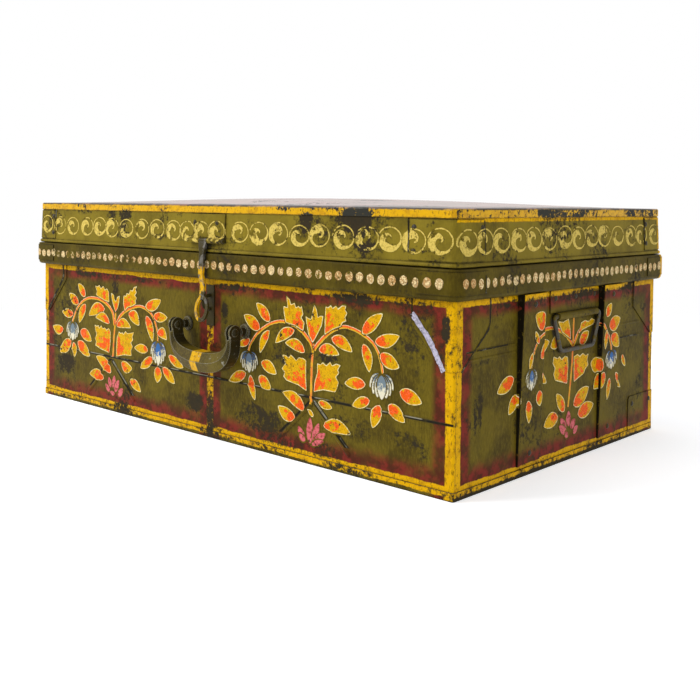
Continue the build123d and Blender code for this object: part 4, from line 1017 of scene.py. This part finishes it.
# Cream paint dragged thin, so the brush's hairs leave darker streaks
def scrollColour(progress, inside, tint):
    return patches(tints["scrollDark"], tints["scroll"], *brushwork["scroll"])


# Each dot is peach with a brown scribble and here and there a pale rim
def dotColour(progress, inside, tint):
    scribble = noise(2.2, 3.0, 0.65, shift=1.2)
    colour = add("mix", add("ramp", add("plus", scribble, add("times", tint, 0.2)), 0.5, 0.66),
                 tints["peach"], tints["dotPale"])
    line = add("ramp", add("size", add("minus", scribble, 0.47)), 0.015, 0.05, 0.8, 0.0)
    return add("mix", line, colour, tints["dotBrown"])


# Grease and soot along a plate's edge, worn through to pale metal in places
def greaseColour(progress, inside, tint):
    return patches(tints["grease"], tints["rubbed"], *brushwork["grease"])


# Bare metal along the cut edge of a plate: matt, patchy, a cool grey
def bareTinColour(progress, inside, tint):
    return patches(tints["lilacDark"], tints["lilac"], *brushwork["bareTin"])


# Scrolls are thumbed away here and there, and the dots nearly gone along the front's left part
def scrollFade():
    return add("ramp", noise(13.0, 5.0, 0.74, shift=8.4), 0.535, 0.59)


def dotFade():
    at = sides()
    where = add("size", add("plus", at["x"], 225.0))
    lost = add("times", add("ramp", where, 90.0, 150.0, 0.11, 0.0), at["onFront"])
    return add("ramp", add("plus", noise(7.0, 4.0, 0.7, shift=8.9), lost), 0.58, 0.66)


def greaseFade():
    return add("ramp", noise(9.0, 4.0, 0.7, shift=1.3), 0.58, 0.66)


ornament = {
    "leaves": ornamentPaint("brushedLeafPaint", leafColour),
    "stems": ornamentPaint("salmonStemPaint", stemColour),
    "blooms": ornamentPaint("blueWhiteBloomPaint", bloomColour, None, -0.02),
    "pinks": ornamentPaint("pinkLotusPaint", lotusColour, None, -0.02),
    "scrolls": ornamentPaint("creamScrollPaint", scrollColour, scrollFade, 0.03),
    "dots": ornamentPaint("peachDotPaint", dotColour, dotFade, 0.03),
    "grease": ornamentPaint("seamGrease", greaseColour, greaseFade),
    "bareTin": ornamentPaint("bareTinEdge", bareTinColour),
}


def laySkin(skin, name):
    mesh = bpy.data.meshes.new(name)
    mesh.from_pydata(skin["points"], [], skin["corners"])
    marks = mesh.attributes.new("stroke", "FLOAT_VECTOR", "POINT")
    marks.data.foreach_set("vector", [value for mark in skin["marks"] for value in mark])
    mesh.polygons.foreach_set("use_smooth", [True] * len(mesh.polygons))
    mesh.materials.append(ornament[skin["paint"]])
    mesh.update()
    skinObject = bpy.data.objects.new(name, mesh)
    bpy.context.collection.objects.link(skinObject)
    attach(skinObject, skin["face"]["body"])


sprays = {
    "frontLeftSpray": ("front", frontLeft, 1, 11),
    "frontRightSpray": ("front", frontRight, 1, 23),
    "rightEndSpray": ("rightEnd", end, 1, 37),
    "leftEndSpray": ("leftEnd", end, -1, 41),
}
for name, settings in sprays.items():
    for paint, skin in paintSpray(*settings).items():
        laySkin(skin, name + paint.capitalize())
print("stage: sprays painted")

# Dark lines of grease along the edges of plates, given as points on a face and a half width
greaseLines = {
    "front": (((-330, 197), (-330, 178), (-352, 151), (-370, 128), 1.9), ((328, 197), (328, 181), 1.0)),
    "rightEnd": (((-158, 197), (-158, 180), (-162, 166), (-186, 145), (-207, 127), 1.6),
                 ((-200, 145), (-125, 146), 0.9), ((120, 129), (170, 128.5), 0.9)),
    "leftEnd": (((-158, 197), (-158, 180), (-162, 166), (-186, 145), (-207, 127), 1.4),),
    "lidFront": (((326, 243), (326, 262), (325, 280), 1.3), ((-343, 243), (-342, 278), 1.0)),
    "lidRight": (((-176, 243), (-177, 276), 1.6), ((177, 243), (177, 276), 1.2)),
    "collarRight": (((-182, 203), (-182, 222), 0.9),),
}
for face, lines in greaseLines.items():
    skin = newSkin(face, "grease")
    for *points, half in lines:
        path = smoothPath(points)
        stroke(skin, path, [half] * len(path), 0.5, 0.5)
    laySkin(skin, face + "Grease")
skin = newSkin("front", "bareTin")
path = smoothPath([(328, 182), (352, 154.5), (368, 127)])
stroke(skin, path, [3.3] * len(path), 0.5, 0.3)
laySkin(skin, "frontGussetBareEdge")

scrollRow = {"height": 255.5, "sway": 1.0, "widest": 15.5, "tall": (11.8, 13.0)}
scrolls = {
    "lidFront": (-365, -331, -297, -260, -228, -198, -164, -128, -95, -60, -31, -2, 27, 68, 102, 135,
                 169, 200, 236, 270, 301, 333, 366),
    "lidRight": (-206, -177, -147, -114, -85, -53, -19, 11, 42, 72, 106, 141, 168, 204),
    "lidLeft": (-204, -172, -140, -108, -76, -44, -12, 20, 52, 84, 116, 148, 180, 204),
}
for face, places in scrolls.items():
    dice = random.Random(len(places))
    skin = newSkin(face, "scrolls")
    for index, place in enumerate(places):
        gaps = [abs(place - other) for other in places if other != place]
        scroll(skin, place, scrollRow["height"] + dice.uniform(-scrollRow["sway"], scrollRow["sway"]),
               min(min(gaps) / 2 + 1.0, scrollRow["widest"]), dice.uniform(*scrollRow["tall"]),
               index % 2 == 0, dice)
    laySkin(skin, face + "Scrolls")

dotRow = {"height": 214.5, "tall": 11.0, "sway": 0.9, "inset": 6.0, "stop": 5.0}
# Half the row's length, the first and last pitch, and how wide a dot is
dotPitch = {"collarFront": (386.0, 13.0, 15.6, 10.8), "collarRight": (222.0, 12.6, 12.6, 9.5),
            "collarLeft": (222.0, 12.6, 12.6, 9.5)}
for face, (reach, firstPitch, lastPitch, wide) in dotPitch.items():
    dice = random.Random(int(reach))
    skin = newSkin(face, "dots")
    along = -reach + dotRow["inset"]
    while along < reach - dotRow["stop"]:
        dot(skin, along, dotRow["height"] + dice.uniform(-dotRow["sway"], dotRow["sway"]),
            wide * dice.uniform(0.88, 1.08), dotRow["tall"] * dice.uniform(0.9, 1.08), dice.random())
        share = (along + reach) / (2 * reach)
        pitch = firstPitch + (lastPitch - firstPitch) * share
        along += pitch + dice.uniform(-dotRow["sway"], dotRow["sway"])
    laySkin(skin, face + "Dots")
print("stage: scrolls and dots painted")

studio = {"floorReach": 6.0, "floorGlow": 0.5, "fadeFrom": 0.75, "fadeTo": 1.5, "ambient": 0.36,
          "aim": (0.0, 0.0, 0.15)}
lamps = {
    "keyLeft": {"place": (-1.5, -2.0, 2.0), "size": (1.3, 1.1), "power": 62.0},
    "fillRight": {"place": (2.6, -1.2, 1.3), "size": (1.8, 1.6), "power": 19.0},
    "topSoft": {"place": (-0.2, 0.1, 2.7), "size": (2.4, 1.6), "power": 22.0},
}


# A pale floor that carries only the trunk's soft shadow
def layFloor():
    mesh = bpy.data.meshes.new("studioFloor")
    shape = bmesh.new()
    bmesh.ops.create_grid(shape, x_segments=24, y_segments=24, size=studio["floorReach"])
    shape.to_mesh(mesh)
    shape.free()
    floor = bpy.data.objects.new("studioFloor", mesh)
    bpy.context.collection.objects.link(floor)
    # pale paper near the trunk, fading to plain white before the far edge comes into view
    material = newMaterial("palePaperFloor")
    colour = add("mix", noise(240.0, 2.0), "#eef0f3", "#f2f4f7")
    glow = add("Emission", "#ffffff", studio["floorGlow"])
    paper = add("AddShader", add("BsdfDiffuse", colour), glow)
    away = add("VectorMath", canvas["place"], operation="LENGTH", output=1)
    fading = add("ramp", away, studio["fadeFrom"], studio["fadeTo"])
    add("OutputMaterial", add("MixShader", fading, paper, add("Emission", "#ffffff", 1.0)))
    mesh.materials.append(material)


def lightStudio():
    world = bpy.data.worlds.new("whiteStudio")
    bpy.context.scene.world = world
    world.use_nodes = True
    canvas["tree"] = world.node_tree
    canvas["tree"].nodes.clear()
    ray = add("LightPath", output=None)
    seen = join("most", ray["Is Camera Ray"], ray["Is Glossy Ray"], ray["Is Transmission Ray"])
    ambient = add("Background", "#f6f7fb", studio["ambient"])
    white = add("Background", "#ffffff", 1.0)
    add("OutputWorld", add("MixShader", seen, ambient, white))
    for name, lamp in lamps.items():
        data = bpy.data.lights.new(name, "AREA")
        data.shape = "RECTANGLE"
        data.size, data.size_y = lamp["size"]
        data.energy = lamp["power"]
        lampObject = bpy.data.objects.new(name, data)
        lampObject.location = lamp["place"]
        aim = Vector(studio["aim"]) - Vector(lamp["place"])
        lampObject.rotation_euler = aim.to_track_quat("-Z", "Y").to_euler()
        bpy.context.collection.objects.link(lampObject)


shot = {"place": (0.93134, -0.97162, 0.29287), "azimuth": 42.462, "pitch": 1.711, "roll": 0.541,
        "lens": 49.2, "shiftX": -0.0004, "shiftY": -0.17}


def aimCamera():
    azimuth, pitch, roll = (math.radians(shot[key]) for key in ("azimuth", "pitch", "roll"))
    data = bpy.data.cameras.new("shot")
    data.sensor_width = 36.0
    data.lens = shot["lens"]
    data.shift_x, data.shift_y = shot["shiftX"], shot["shiftY"]
    data.clip_start, data.clip_end = 0.05, 60.0
    camera = bpy.data.objects.new("shot", data)
    camera.matrix_world = (Matrix.Translation(shot["place"]) @ Matrix.Rotation(azimuth, 4, "Z")
                           @ Matrix.Rotation(math.pi / 2 - pitch, 4, "X")
                           @ Matrix.Rotation(roll, 4, "Z"))
    bpy.context.collection.objects.link(camera)
    bpy.context.scene.camera = camera


def settleRender():
    scene = bpy.context.scene
    scene.render.engine = "CYCLES"
    scene.cycles.samples = 96
    scene.cycles.use_denoising = True
    scene.cycles.seed = 3
    scene.cycles.max_bounces = 6
    scene.render.resolution_x = 700
    scene.render.resolution_y = 700
    scene.view_settings.view_transform = "Standard"


layFloor()
lightStudio()
aimCamera()
settleRender()
print("stage: studio ready")
